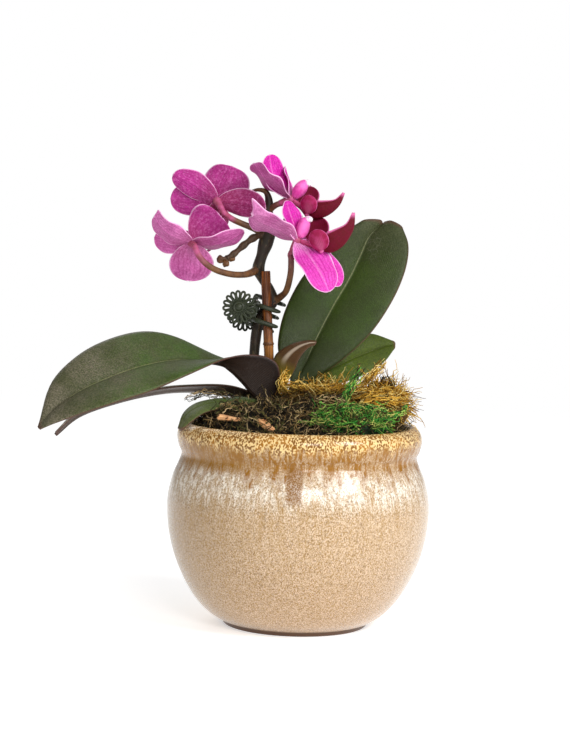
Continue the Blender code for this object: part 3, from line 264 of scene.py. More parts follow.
# Lip, in its flower's own directions: forward, sideways, up. Each point of its middle lobe's keel
# has the height and the spread of the trough's two sides.
LIP_KEEL = [(8.6, 0.0, -5.2), (13.6, 0.0, -7.4), (18.4, 0.0, -6.2), (22.4, 0.0, -3.0),
            (25.5, 0.0, 1.6), (26.8, 0.0, 7.4)]
LIP_SIDES = [(2.4, 1.6), (6.4, 3.2), (8.0, 4.2), (6.6, 3.6), (3.4, 2.2), (0.6, 1.1)]
LIP_CLAW = [(1.9, 0.0, -0.8), (6.4, 0.0, -3.0), (10.6, 0.0, -5.6)]
LIP_LOBE_CENTRE = (10.6, 4.6, -1.8)
LIP_LOBE_RADIUS = 4.3
LIP_LOBE_SPLAY = 0.65
LIP_THICKNESS = 0.7
# On the two flowers seen from the side, the far side lobe stands up behind the column
TALL_LOBES = ("3", "4")
TALL_LOBE_CENTRE = (8.2, 4.6, 3.6)
TALL_LOBE_RADIUS = 5.8

# Plastic clip in its own frame: X along the fingers, Z along the pin
CLIP_PLACE = (-22.7, 5.0, 143.2)
CLIP_TILT = 17
PIN_RADIUS = 0.6
PIN_HALF_LENGTH = 5.6
KNUCKLE_HOLE = 0.95
KNUCKLE_RADIUS = 1.65
SPRING_WIRE = 0.3
SPRING_RADIUS = 1.25
SPRING_TURNS = 2.5
SPRING_PITCH = 0.8
FINGER_RADIUS = 1.1
CLIP_CREASE = 50
FRONT_CLIP = {
    "fingers": {
        3.6: [(0.8, -2.9), (2.4, -5.0), (4.6, -5.7), (8.0, -5.5), (10.4, -4.1), (11.2, -1.8)],
        -3.3: [(0.8, -2.9), (2.4, -5.0), (4.6, -5.7), (8.4, -5.6), (11.4, -4.3), (12.2, -1.8)],
    },
    "knuckles": [(1.7, 3.4), (-3.4, -1.7)], "body": ((0.0, -2.7, 0.0), (3.4, 1.6, 8.4)),
    "daisy": (-7.0, -8.0, 0.0), "lean": -12, "hand": -1.0,
}
BACK_CLIP = {
    "fingers": {
        7.0: [(-1.2, 2.7), (0.2, 6.2), (3.6, 8.5), (8.5, 8.5), (11.8, 6.8), (12.6, 4.0)],
        0.3: [(-1.2, 2.7), (0.2, 6.2), (3.6, 8.5), (8.0, 8.5), (10.8, 6.8), (11.5, 4.0)],
        -6.3: [(-1.2, 2.7), (0.2, 6.2), (3.6, 8.5), (7.6, 8.5), (10.6, 6.8), (11.2, 4.0)],
    },
    "knuckles": [(3.7, 5.2), (-5.2, -3.7)], "body": ((-1.2, 2.6, 0.3), (2.6, 1.6, 14.6)),
    "daisy": (-3.8, 8.2, -3.2), "lean": 10, "hand": 1.0,
}

# Chips of bark that lie on the moss: centre, size, turn and lean in degrees
CHIPS = {
    "bark_chip_left": ((-31.5, -30.0, 96.6), (10.5, 4.6, 2.6), -8, 6),
    "bark_chip_front": ((-15.0, -39.5, 94.6), (9.0, 4.8, 2.6), -52, 22),
    "bark_chip_back": ((-22.0, 30.0, 99.5), (10.0, 5.0, 2.6), 30, 10),
}

# The camera: distance and target in metres, and the photograph's scale
CAMERA_DISTANCE = 0.900
CAMERA_TARGET = (-0.0075, 0.0, 0.1139)
CAMERA_PITCH = 3.9
CAMERA_ROLL = 1.6
SENSOR = 36.0
IMAGE_HEIGHT = 753
PIXELS_PER_METRE = 2180
# The surroundings' brightness, and the floor's radius in metres
SKY_LIGHT = 0.39
FLOOR_RADIUS = 4.0


def from_screen(red, green, blue):
    """Linear colour values of a colour given as it looks on a screen, from 0 to 255."""
    return tuple((c / 255 / 12.92) if c <= 10 else ((c / 255 + 0.055) / 1.055) ** 2.4
                 for c in (red, green, blue))


def colour_setting(title, words, red, green, blue):
    """A colour that the sidebar shows."""
    return FloatVectorProperty(name=title, description=words, subtype="COLOR", size=3, min=0.0,
                               max=1.0, default=from_screen(red, green, blue))


def length_setting(title, words, usual, low, high):
    """A length that the sidebar shows."""
    return FloatProperty(name=title, description=words, default=usual, min=low, max=high,
                         subtype="DISTANCE", unit="LENGTH")


class OrchidSizes(bpy.types.PropertyGroup):
    """Sizes that can be changed before the pieces are made."""

    bowl_sides: IntProperty(name="Bowl sides", description="Faces round the bowl", default=144,
                            min=24, max=360)
    leaf_thickness: length_setting("Leaf thickness", "Thickness beside the midrib", 0.0018, 0.0005, 0.004)
    petal_thickness: length_setting("Petal thickness", "Thickness of a petal", 0.0006, 0.0003, 0.002)
    moss_length: length_setting("Moss strand", "Mean length of a brown strand", 0.0062, 0.001, 0.02)
    daisy_petals: IntProperty(name="Clip petals", description="Looped petals on the clip's flower",
                              default=16, min=6, max=24)


class OrchidColours(bpy.types.PropertyGroup):
    """Colours that can be changed before the pieces are made."""

    glaze_cream: colour_setting("Glaze cream", "Pale ground of the glaze", 210, 184, 154)
    glaze_brown: colour_setting("Glaze brown", "Speckles of the glaze", 146, 108, 34)
    petal_front: colour_setting("Petal front", "Face of a petal", 208, 26, 164)
    petal_back: colour_setting("Petal back", "Back of a petal", 182, 50, 142)
    lip_red: colour_setting("Lip crimson", "Lip of a flower", 98, 0, 30)
    bamboo: colour_setting("Bamboo", "Stake", 104, 60, 16)
    stem_brown: colour_setting("Stem", "Flower spike and stalks", 42, 30, 24)
    clip_green: colour_setting("Clip green", "Plastic of the clip", 40, 46, 30)


def sizes():
    """The sizes that the sidebar shows."""
    return bpy.context.scene.orchid_sizes


def colour(name):
    """One of the sidebar's colours, as red, green, blue and one."""
    return (*getattr(bpy.context.scene.orchid_colours, name), 1.0)


def screen(red, green, blue):
    """A fixed colour given as it looks on a screen."""
    return (*from_screen(red, green, blue), 1.0)


# Curves and smooth steps


def vectors(points):
    """Points in millimetres as vectors."""
    return [Vector(point[:3]) for point in points]


def along_rail(points, share):
    """A point on the smooth curve through the points, with share running from 0 to 1."""
    place = min(max(share, 0.0), 1.0) * (len(points) - 1)
    index = min(int(place), len(points) - 2)
    t = place - index
    start, end = points[index], points[index + 1]
    before = points[index - 1] if index > 0 else start * 2 - end
    after = points[index + 2] if index + 2 < len(points) else end * 2 - start
    return 0.5 * (start * 2 + (end - before) * t
                  + (before * 2 - start * 5 + end * 4 - after) * t ** 2
                  + (start * 3 - before - end * 3 + after) * t ** 3)


def smooth_route(points, count):
    """Evenly stepped points on the smooth curve through a few given points."""
    return [along_rail(points, step / count) for step in range(count + 1)]


def smooth_step(low, high, value):
    """Rises smoothly from 0 at low to 1 at high."""
    share = min(max((value - low) / (high - low), 0.0), 1.0)
    return share * share * (3.0 - 2.0 * share)


def hump(width, value):
    """A smooth hump, 1 at zero, that fades over the width."""
    return math.exp(-(value / width) ** 2)


# Meshes


class Shape:
    """A mesh in the making: points, faces, each face's finish, and values at each point."""

    def __init__(self):
        self.points = []
        self.faces = []
        self.finishes = []
        self.values = {"across": [], "along": [], "under": [], "tone": []}

    def loft(self, rings, marks, finish=0, tone=0.5):
        """A closed skin over rings of points in step, zipped shut at both ends.

        The tone is one value, or a rule that gives it from the place along the skin.
        """
        first = len(self.points)
        count = len(rings[0])
        for ring, mark in zip(rings, marks):
            self.points += [point * MM for point in ring]
            for across, along, under in mark:
                self.values["across"].append(across)
                self.values["along"].append(along)
                self.values["under"].append(under)
                self.values["tone"].append(tone(along) if callable(tone) else tone)
        faces = []
        for row in range(len(rings) - 1):
            low = first + row * count
            for i in range(count):
                after = (i + 1) % count
                faces.append((low + i, low + after, low + count + after, low + count + i))
        last = first + (len(rings) - 1) * count
        for i in range(count // 2 - 1):
            far = count - 1 - i
            faces.append((first + i, first + far, first + far - 1, first + i + 1))
            faces.append((last + i, last + i + 1, last + far - 1, last + far))
        self.faces += faces
        self.finishes += [finish] * len(faces)

    def round_rings(self, rows, sides, point_at, finish=0, tone=0.5):
        """A closed skin of round rings; point_at(row, turn) gives each point."""
        turns = [2 * math.pi * k / sides for k in range(sides)]
        rings = [[point_at(row, turn) for turn in turns] for row in range(rows + 1)]
        marks = [[(k / sides, row / rows, 0.0) for k in range(sides)] for row in range(rows + 1)]
        self.loft(rings, marks, finish, tone)

    def mesh(self, name):
        """The finished mesh, with its faces pointing out."""
        made = bpy.data.meshes.new(name)
        made.from_pydata(self.points, [], self.faces)
        made.polygons.foreach_set("material_index", self.finishes)
        for key, values in self.values.items():
            made.attributes.new(key, "FLOAT", "POINT").data.foreach_set("value", values)
        bm = bmesh.new()
        bm.from_mesh(made)
        bmesh.ops.recalc_face_normals(bm, faces=bm.faces[:])
        bm.to_mesh(made)
        bm.free()
        made.shade_smooth()
        return made


def blade(shape, surface, rows, columns, thickness, tone=0.5):
    """A thin closed blade on surface(across, along), thinner towards its rounded margins."""
    grid = [[surface(2 * i / columns - 1, j / rows) for i in range(columns + 1)]
            for j in range(rows + 1)]
    rings, marks = [], []
    for j, row in enumerate(grid):
        top, under, top_marks, under_marks = [], [], [], []
        for i, point in enumerate(row):
            across = 2 * i / columns - 1
            aside = row[min(i + 1, columns)] - row[max(i - 1, 0)]
            ahead = grid[min(j + 1, rows)][i] - grid[max(j - 1, 0)][i]
            way = aside.cross(ahead).normalized()
            half = thickness / 2 * (0.35 + 0.65 * math.sqrt(1.0 - across ** 4))
            top.append(point + way * half)
            under.append(point - way * half)
            top_marks.append((across, j / rows, 0.0))
            under_marks.append((across, j / rows, 1.0))
        rings.append(top + under[::-1])
        marks.append(top_marks + under_marks[::-1])
    shape.loft(rings, marks, tone=tone)


# How far past a tube's end its closing rings lie and how wide they are, as shares of its radius
ROUND_END = [(0.45, 0.3), (0.25, 0.8)]


def tube(shape, route, radii, sides, finish=0, tone=0.5, swell=None):
    """A round tube through the points, with rounded ends; swell(along) scales its radius."""
    ways = [(route[min(i + 1, len(route) - 1)] - route[max(i - 1, 0)]).normalized()
            for i in range(len(route))]
    side = ways[0].orthogonal().normalized()
    turns = [2 * math.pi * k / sides for k in range(sides)]
    rings, marks = [], []
    last = len(route) - 1
    for index, (point, way, radius) in enumerate(zip(route, ways, radii)):
        side = (side - way * side.dot(way)).normalized()
        other = way.cross(side)
        along = index / last
        width = radius * (swell(along) if swell else 1.0)
        steps = [(0.0, 1.0)]
        if index == 0:
            steps = [(-shift, reach) for shift, reach in ROUND_END] + steps
        if index == last:
            steps += reversed(ROUND_END)
        for shift, reach in steps:
            middle = point + way * (shift * width)
            rings.append([middle + (side * math.cos(turn) + other * math.sin(turn)) * (reach * width)
                          for turn in turns])
            marks.append([(k / sides, along, 0.0) for k in range(sides)])
    shape.loft(rings, marks, finish, tone)


def turned(shape, profile, sides, place=None, wobble=0.0):
    """A skin turned round Z from radius and height, moved by a matrix."""
    place = place or Matrix.Identity(4)

    def point_at(row, turn):
        radius, height = profile[row]
        reach = radius + wobble * math.sin(3 * turn + height / 25) * min(radius, 1.0)
        return place @ Vector((reach * math.cos(turn), reach * math.sin(turn), height))
    shape.round_rings(len(profile) - 1, sides, point_at)


def egg(shape, centre, size, turn, sides, rows, finish=0, tone=0.5, rough=0.0, grain=2.0):
    """An egg shape of three half sizes, turned by a matrix, with a rough or even skin."""
    centre = Vector(centre)

    def point_at(row, angle):
        tilt = math.pi * (0.01 + 0.98 * row / rows)
        way = Vector((math.sin(tilt) * math.cos(angle), math.sin(tilt) * math.sin(angle), math.cos(tilt)))
        point = Vector([way[i] * size[i] for i in range(3)])
        bump = 1.0 + rough * noise.noise((point + centre) / grain)
        return centre + turn @ (point * bump)
    shape.round_rings(rows, sides, point_at, finish, tone)


def squared(value, power):
    """A sine or cosine drawn towards 1 or -1, which turns a circle into a soft-edged square."""
    return math.copysign(abs(value) ** power, value)


def rounded_box(shape, centre, size, place):
    """A block with soft edges, moved by a matrix."""
    rows, power = 14, 0.35

    def point_at(row, turn):
        tilt = math.pi * (0.5 - (0.01 + 0.98 * row / rows))
        reach = squared(math.cos(tilt), power)
        x, y = squared(math.cos(turn), power) * reach, squared(math.sin(turn), power) * reach
        z = squared(math.sin(tilt), power)
        return place @ (Vector(centre) + Vector((x * size[0] / 2, y * size[1] / 2, z * size[2] / 2)))
    shape.round_rings(rows, 24, point_at)


def spun(degrees, axis, size=4):
    """A turn about an axis, as a matrix."""
    return Matrix.Rotation(math.radians(degrees), size, axis)


def new_object(name, data):
    """An object of the data, in the scene."""
    made = bpy.data.objects.new(name, data)
    bpy.context.scene.collection.objects.link(made)
    return made


def add_piece(name, mesh, finishes, body, nodes=()):
    """An object of the mesh that moves with a body and stands for CAD nodes."""
    for finish in finishes:
        mesh.materials.append(finish)
    made = new_object(name, mesh)
    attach(made, body)
    if nodes:
        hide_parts(*nodes)


# Shader trees


class Nodes:
    """Short calls that add and join the nodes of one tree."""

    def __init__(self, tree):
        self.tree = tree

    def join(self, value, socket):
        """Link an output to the socket, or set the socket to a plain value."""
        if isinstance(value, bpy.types.NodeSocket):
            self.tree.links.new(value, socket)
        else:
            socket.default_value = value

    def add(self, kind, inputs=None, **settings):
        """A node with its settings, and its inputs by name or place."""
        made = self.tree.nodes.new(kind)
        for key, value in settings.items():
            setattr(made, key, value)
        for key, value in (inputs or {}).items():
            self.join(value, made.inputs[key])
        return made

    def out(self, kind, inputs=None, **settings):
        """The first output of a node with these settings and inputs."""
        return self.add(kind, inputs, **settings).outputs[0]

    def math(self, operation, first, second=0.0):
        """The result of one sum."""
        return self.out("ShaderNodeMath", {0: first, 1: second}, operation=operation)

    def times(self, first, second):
        """Two values multiplied."""
        return self.math("MULTIPLY", first, second)

    def plus(self, first, second):
        """Two values added."""
        return self.math("ADD", first, second)

    def minus(self, first, second):
        """The first value less the second."""
        return self.math("SUBTRACT", first, second)

    def unsigned(self, value):
        """A value without its sign."""
        return self.math("ABSOLUTE", value)

    def vector(self, operation, first, second):
        """The result of a vector sum."""
        return self.out("ShaderNodeVectorMath", {0: first, 1: second}, operation=operation)

    def longer(self, vector, share):
        """A vector times a value."""
        return self.out("ShaderNodeVectorMath", {0: vector, "Scale": share}, operation="SCALE")

    def rise(self, value, low, high, start=0.0, end=1.0):
        """A smooth step of the value, from start at low to end at high."""
        return self.out("ShaderNodeMapRange", {"Value": value, "From Min": low, "From Max": high,
                                               "To Min": start, "To Max": end},
                        interpolation_type="SMOOTHSTEP")

    def fall(self, value, low, high):
        """A smooth step of the value, from 1 at low to 0 at high."""
        return self.rise(value, low, high, 1.0, 0.0)

    def mix(self, share, first, second):
        """A blend of two colours."""
        return self.add("ShaderNodeMix", {0: share, 6: first, 7: second}, data_type="RGBA").outputs[2]

    def coat(self, skin, mask, share, *shade):
        """The colour skin under a share of a fixed screen colour, where the mask is."""
        return self.mix(self.times(mask, share), skin, screen(*shade))

    def covered(self, skin, height, depth):
        """What a plain finish varies: its colour, and a normal tilted by a height."""
        return {"Base Color": skin, "Normal": self.bump(height, depth)}

    def mottle(self, size, low, high):
        """Soft blotches of a size in millimetres, from the shared effect."""
        return self.effect("mottle", size=size, low=low, high=high)

    def cells(self, size):
        """The tiny cells of a living skin, of a size in millimetres, from the shared effect."""
        return self.effect("skin", size=size)

    def place(self):
        """The point's place in the object, in metres."""
        return self.add("ShaderNodeTexCoord").outputs["Object"]

    def stretched(self, vector, x, y, z):
        """The vector with each of its parts scaled."""
        return self.vector("MULTIPLY", vector, (x, y, z))

    def grain(self, vector, scale, detail=2.0, roughness=0.5, distortion=0.0):
        """Cloudy noise from 0 to 1."""
        return self.add("ShaderNodeTexNoise", {"Vector": vector, "Scale": scale, "Detail": detail,
                                               "Roughness": roughness,
                                               "Distortion": distortion}).outputs["Fac"]

    def value_of(self, name):
        """A value stored at the mesh's points."""
        return self.add("ShaderNodeAttribute", attribute_name=name).outputs["Fac"]

    def parts(self, vector):
        """The three parts of a vector."""
        return self.add("ShaderNodeSeparateXYZ", {0: vector}).outputs

    def bump(self, height, distance):
        """A normal that is tilted by a height."""
        return self.out("ShaderNodeBump", {"Height": height, "Distance": distance})

    def effect(self, name, **inputs):
        """One of the shared effects, with its own values; gives its first output."""
        made = self.add("ShaderNodeGroup", node_tree=EFFECTS[name]())
        for key, value in inputs.items():
            self.join(value, made.inputs[key.replace("_", " ").capitalize()])
        return made.outputs[0]


def new_tree(name, family, inputs, output, kind, build):
    """A node group that is built once; its inputs are named, each with a kind and a plain value."""
    if name in bpy.data.node_groups:
        return bpy.data.node_groups[name]
    tree = bpy.data.node_groups.new(name, family)
    for title, (sort, value) in inputs.items():
        made = tree.interface.new_socket(title, in_out="INPUT", socket_type="NodeSocket" + sort)
        if value is not None:
            made.default_value = value
    tree.interface.new_socket(output, in_out="OUTPUT", socket_type="NodeSocket" + kind)
    nodes = Nodes(tree)
    given = tree.nodes.new("NodeGroupInput").outputs
    nodes.add("NodeGroupOutput", {0: build(nodes, given)})
    return tree


def effect(name, inputs, output):
    """Marks a rule that builds a shader group with plain numbers as its inputs."""
    sockets = {title: ("Float", value) for title, value in inputs.items()}

    def mark(build):
        return lambda: new_tree(name, "ShaderNodeTree", sockets, output, "Float", build)
    return mark


@effect("Mottle", {"Size": 5.0, "Low": 0.35, "High": 0.65}, "Mask")
def mottle_effect(nodes, given):
    """Soft blotches of a size in millimetres, as a mask."""
    scale = nodes.math("DIVIDE", 1000.0, given["Size"])
    cloud = nodes.grain(nodes.place(), scale, 3.0, 0.55)
    return nodes.rise(cloud, given["Low"], given["High"])


@effect("Veins", {"Count": 12.0, "Width": 0.12, "Wander": 0.1}, "Mask")
def vein_effect(nodes, given):
    """Fine lines that run along a blade and fan out with it, as a mask."""
    along, across = nodes.value_of("along"), nodes.value_of("across")
    sway = nodes.grain(nodes.place(), 160.0, 2.0)
    sway = nodes.times(nodes.minus(sway, 0.5), given["Wander"])
    lane = nodes.times(nodes.plus(across, sway), given["Count"])
    wave = nodes.math("PINGPONG", lane, 0.5)
    line = nodes.fall(wave, 0.0, given["Width"])
    fade = nodes.rise(nodes.unsigned(across), 0.7, 1.0, 1.0, 0.2)
    fade = nodes.times(fade, nodes.rise(along, 0.75, 1.0, 1.0, 0.3))
    return nodes.times(line, fade)


@effect("Margin", {"Width": 0.08}, "Mask")
def margin_effect(nodes, given):
    """The rim of a blade, as a mask."""
    side = nodes.unsigned(nodes.value_of("across"))
    edge = nodes.rise(side, nodes.minus(1.0, given["Width"]), 1.0)
    end = nodes.rise(nodes.value_of("along"), nodes.minus(1.0, given["Width"]), 1.0)
    return nodes.math("MAXIMUM", edge, end)


@effect("Skin", {"Size": 0.6}, "Height")
def skin_effect(nodes, given):
    """Tiny cells of a living surface, as a height."""
    scale = nodes.math("DIVIDE", 1000.0, given["Size"])
    cells = nodes.add("ShaderNodeTexVoronoi", {"Vector": nodes.place(), "Scale": scale})
    fine = nodes.grain(nodes.place(), scale, 4.0, 0.6)
    return nodes.plus(cells.outputs["Distance"], fine)


EFFECTS = {"mottle": mottle_effect, "veins": vein_effect, "margin": margin_effect,
           "skin": skin_effect}


def new_finish(name, build, roughness, fixed=None):
    """A material on one Principled shader; build gives what varies, and fixed the plain values."""
    if name in bpy.data.materials and bpy.data.materials[name].get("orchid"):
        return bpy.data.materials[name]
    made = bpy.data.materials.new(name)
    made["orchid"] = True
    made.use_nodes = True
    shader = made.node_tree.nodes["Principled BSDF"]
    shader.inputs["Roughness"].default_value = roughness
    for key, value in (fixed or {}).items():
        shader.inputs[key].default_value = value
    nodes = Nodes(made.node_tree)
    for key, value in build(nodes).items():
        nodes.join(value, shader.inputs[key])
    return made


def finish(name, roughness, fixed=None):
    """Marks a rule for what varies, which then gives its own material."""
    def mark(build):
        return lambda: new_finish(name, build, roughness, fixed)
    return mark


def rim_glaze(nodes, place, z, fringe):
    """How far up the rim's dark net reaches, and the net's colour."""
    cell = nodes.add("ShaderNodeTexVoronoi", {"Vector": nodes.stretched(place, 1.0, 1.0, 0.7),
                                              "Scale": 1450.0}, feature="SMOOTH_F1")
    net = nodes.fall(cell.outputs["Distance"], 0.36, 0.54)
    shade = nodes.mix(nodes.rise(nodes.grain(place, 150.0), 0.4, 0.6), screen(166, 110, 26),
                      screen(122, 76, 8))
    rim = nodes.rise(nodes.plus(z, nodes.times(fringe, 0.010)), 0.0875, 0.0925)
    return nodes.times(rim, 0.92), nodes.mix(net, screen(238, 206, 144), shade)


def drip_mask(nodes, x, y, z, speck):
    """One thick run of brown glaze down the front."""
    drip = nodes.fall(nodes.unsigned(nodes.plus(x, 0.0022)), 0.0024, 0.0046)
    drip = nodes.times(drip, nodes.rise(y, -0.045, -0.050))
    drip = nodes.times(drip, nodes.rise(z, 0.0600, 0.0650))
    drip = nodes.times(drip, nodes.fall(z, 0.075, 0.082))
    return nodes.times(drip, nodes.plus(0.55, nodes.times(speck, 0.45)))


def glaze_ground(nodes, x, z, cloud, streak):
    """The glaze under its speckles, with painted shade darker low on the body and towards the left side,
    and how far it thins to near white under the neck.
    """
    ground = nodes.coat(colour("glaze_cream"), cloud, 0.5, 208, 180, 148)
    # Painted shade: the glaze darkens towards the bottom of the body.
    ground = nodes.mix(nodes.rise(z, 0.014, 0.058, 0.7, 0.0), ground, screen(196, 166, 138))
    # Painted shade: the glaze darkens towards the left side, away from the key light.
    ground = nodes.mix(nodes.rise(x, -0.012, -0.054, 0.0, 0.75), ground, screen(156, 130, 98))
    pale = nodes.times(nodes.rise(z, 0.054, 0.066), nodes.fall(z, 0.072, 0.080))
    pale = nodes.times(pale, nodes.plus(0.32, nodes.times(streak, 0.62)))
    return nodes.mix(pale, ground, screen(250, 244, 232)), pale


def glaze_runs(nodes, skin, z, streak_place, streak, fringe):
    """The skin under golden trails and brown runs of glaze, and the runs' mask."""
    trail = nodes.rise(nodes.grain(streak_place, 330.0, 2.0, 0.5), 0.5, 0.66)
    trail = nodes.times(trail, nodes.rise(z, 0.030, 0.062))
    skin = nodes.coat(skin, trail, 0.32, 160, 118, 44)
    runs = nodes.plus(z, nodes.times(nodes.minus(fringe, 0.5), 0.034))
    runs = nodes.times(nodes.rise(runs, 0.069, 0.080), nodes.plus(streak, 0.22))
    return nodes.coat(skin, runs, 0.85, 140, 90, 6), runs


@finish("pot_glaze", 0.24, {"Coat Roughness": 0.1, "Specular IOR Level": 0.3})
def glaze_finish(nodes):
    """Beige glaze with golden brown speckles, painted shade low and on the left, a netted rim, streaks, a
    drip and a bare foot.
    """
    place = nodes.place()
    x, y, z = nodes.parts(place)
    speck_place = nodes.stretched(place, 1.0, 1.0, 0.65)
    speck = nodes.rise(nodes.grain(speck_place, 2100.0, 2.0, 0.8), 0.46, 0.53)
    crumb = nodes.rise(nodes.grain(speck_place, 2600.0, 2.0, 0.8, 0.5), 0.55, 0.61)
    pit = nodes.rise(nodes.grain(speck_place, 1500.0, 2.0, 0.6), 0.55, 0.62)
    cloud = nodes.mottle(18.0, 0.3, 0.7)
    streak_place = nodes.stretched(place, 1.0, 1.0, 0.12)
    streak = nodes.rise(nodes.grain(streak_place, 640.0, 3.0, 0.6, 0.6), 0.44, 0.58)
    fringe = nodes.grain(streak_place, 260.0, 2.0, 0.5)
    ground, pale = glaze_ground(nodes, x, z, cloud, streak)
    share = nodes.times(speck, nodes.rise(pale, 0.0, 1.0, 0.85, 0.45))
    skin = nodes.mix(share, ground, colour("glaze_brown"))
    skin = nodes.coat(skin, pit, 0.6, 104, 70, 16)
    skin = nodes.coat(skin, crumb, 0.40, 244, 222, 200)
    skin, runs = glaze_runs(nodes, skin, z, streak_place, streak, fringe)
    neck = nodes.times(nodes.rise(z, 0.0725, 0.0775), nodes.rise(x, -0.050, 0.004, 0.7, 0.2))
    skin = nodes.mix(neck, skin, screen(150, 104, 24))
    rim, net = rim_glaze(nodes, place, z, fringe)
    skin = nodes.mix(rim, skin, net)
    skin = nodes.mix(drip_mask(nodes, x, y, z, speck), skin, screen(126, 80, 4))
    foot = nodes.fall(z, 0.0016, 0.0030)
    skin = nodes.mix(foot, skin, screen(92, 62, 40))
    height = nodes.plus(nodes.times(runs, 1.5), nodes.times(speck, 0.7))
    return {"Base Color": skin,
            "Roughness": nodes.rise(foot, 0.0, 1.0, 0.24, 0.8),
            "Coat Weight": nodes.rise(runs, 0.1, 0.8, 0.55, 0.2),
            "Normal": nodes.bump(height, 0.00006)}


@finish("potting_bark", 0.9)
def bark_finish(nodes):
    """Dark broken bark."""
    lumps = nodes.mottle(7.0, 0.3, 0.7)
    fibre = nodes.grain(nodes.stretched(nodes.place(), 1.0, 0.3, 1.0), 700.0, 4.0, 0.6)
    skin = nodes.mix(lumps, screen(42, 26, 16), screen(106, 66, 38))
    skin = nodes.mix(fibre, skin, screen(70, 42, 26))
    return nodes.covered(skin, nodes.plus(lumps, fibre), 0.0012)


# Plain two-tone finishes: blotches, both colours, size of the skin's cells, depth of its bumps,
# roughness and fixed values
TWO_TONE = {
    "root_velvet": ((5.0, 0.35, 0.65), (150, 150, 118), (104, 92, 58), 1.1, 0.0003, 0.75, None),
    "column_skin": ((4.0, 0.3, 0.7), (208, 46, 148), (238, 112, 192), 0.3, 0.00008, 0.42,
                    {"Specular IOR Level": 0.25}),
    "anther_cap": ((1.6, 0.4, 0.7), (252, 238, 246), (232, 150, 204), 0.3, 0.00006, 0.35, None),
}


def two_tone_finish(name):
    """Soft blotches of two colours on a finely celled skin."""
    blotches, first, second, cells, depth, roughness, fixed = TWO_TONE[name]

    def build(nodes):
        skin = nodes.mix(nodes.mottle(*blotches), screen(*first), screen(*second))
        return nodes.covered(skin, nodes.cells(cells), depth)
    return new_finish(name, build, roughness, fixed)


def moss_finish(name, stops, roughness=0.8):
    """Strands that run through a few colours, each by its own tone, with darker patches, and on the golden
    moss painted shade low on its ridge.
    """
    def build(nodes):
        ramp = nodes.add("ShaderNodeValToRGB", {"Fac": nodes.value_of("tone")})
        band = ramp.color_ramp.elements
        band[0].position, band[0].color = stops[0][0], screen(*stops[0][1])
        band[1].position, band[1].color = stops[-1][0], screen(*stops[-1][1])
        for place, shade in stops[1:-1]:
            band.new(place).color = screen(*shade)
        patch = nodes.mottle(5.0, 0.45, 0.7)
        skin = nodes.mix(nodes.times(patch, 0.4), ramp.outputs[0], screen(*stops[0][1]))
        if name == "golden_moss":
            x, _, z = nodes.parts(nodes.place())
            # Painted shade: the golden moss darkens to brown towards the bottom of its ridge.
            low = nodes.times(nodes.rise(z, 0.1045, 0.1130, 0.85, 0.0), nodes.rise(x, 0.030, 0.018))
            skin = nodes.mix(low, skin, screen(66, 48, 22))
        height = nodes.cells(0.5)
        return nodes.covered(skin, height, 0.0002)
    return new_finish(name, build, roughness, {"Specular IOR Level": 0.2})


@finish("chip_wood", 0.75)
def chip_finish(nodes):
    """Orange brown wood with a long grain."""
    line = nodes.grain(nodes.stretched(nodes.place(), 0.25, 1.0, 1.0), 1300.0, 4.0, 0.65)
    patch = nodes.mottle(4.0, 0.35, 0.65)
    skin = nodes.mix(nodes.rise(line, 0.35, 0.65), screen(150, 84, 36), screen(226, 158, 98))
    skin = nodes.coat(skin, patch, 0.5, 240, 196, 144)
    return nodes.covered(skin, line, 0.0005)


# Each leaf's look: face colour, fresh patch, grey of its dust and painted sheen, underside colour, and how
# much dust and painted sheen
LEAF_LOOKS = {
    "leaf_right_tall": ((46, 56, 20), (54, 74, 18), (80, 82, 56), (84, 76, 50), 0.30),
    "leaf_right_low": ((68, 84, 14), (84, 104, 16), (90, 94, 44), (92, 94, 50), 0.15),
    # This leaf's near-black underside is painted shade over its dark underside colour.
    "leaf_left_broad": ((60, 64, 28), (58, 90, 16), (116, 108, 90), (24, 12, 8), 0.50),
    "leaf_left_low": ((74, 80, 38), (88, 96, 42), (190, 176, 166), (84, 70, 60), 0.62),
    "leaf_small": ((68, 84, 28), (80, 102, 28), (116, 112, 78), (108, 84, 64), 0.35),
    "leaf_young": ((92, 92, 40), (98, 96, 42), (112, 96, 74), (74, 48, 16), 0.25),
}


def leaf_upper(nodes, looks, dust, veins):
    """The upper face: a fresh patch, grey dust with painted sheen, veins, midrib, water marks and grit."""
    face, fresh, bloom = looks[:3]
    along, place = nodes.value_of("along"), nodes.place()
    patch = nodes.times(nodes.rise(along, 0.30, 0.52), nodes.fall(along, 0.62, 0.9))
    patch = nodes.times(patch, nodes.plus(0.35, nodes.times(nodes.mottle(13.0, 0.35, 0.65), 0.6)))
    skin = nodes.mix(patch, screen(*face), screen(*fresh))
    # Grey dust and painted sheen mixed over the face.
    skin = nodes.mix(dust, skin, screen(*bloom))
    skin = nodes.coat(skin, veins, 0.22, 34, 46, 24)
    rib = nodes.fall(nodes.unsigned(nodes.value_of("across")), 0.004, 0.028)
    skin = nodes.coat(skin, rib, 0.7, 132, 134, 92)
    lace = nodes.add("ShaderNodeTexVoronoi", {"Vector": place, "Scale": 330.0},
                     feature="DISTANCE_TO_EDGE").outputs["Distance"]
    marks = nodes.times(nodes.fall(lace, 0.0, 0.05), nodes.mottle(17.0, 0.60, 0.68))
    skin = nodes.coat(skin, marks, 0.14, 176, 172, 156)
    grit = nodes.rise(nodes.grain(place, 1300.0, 3.0, 0.7), 0.42, 0.58)
    return nodes.coat(skin, grit, 0.38, 24, 34, 10)


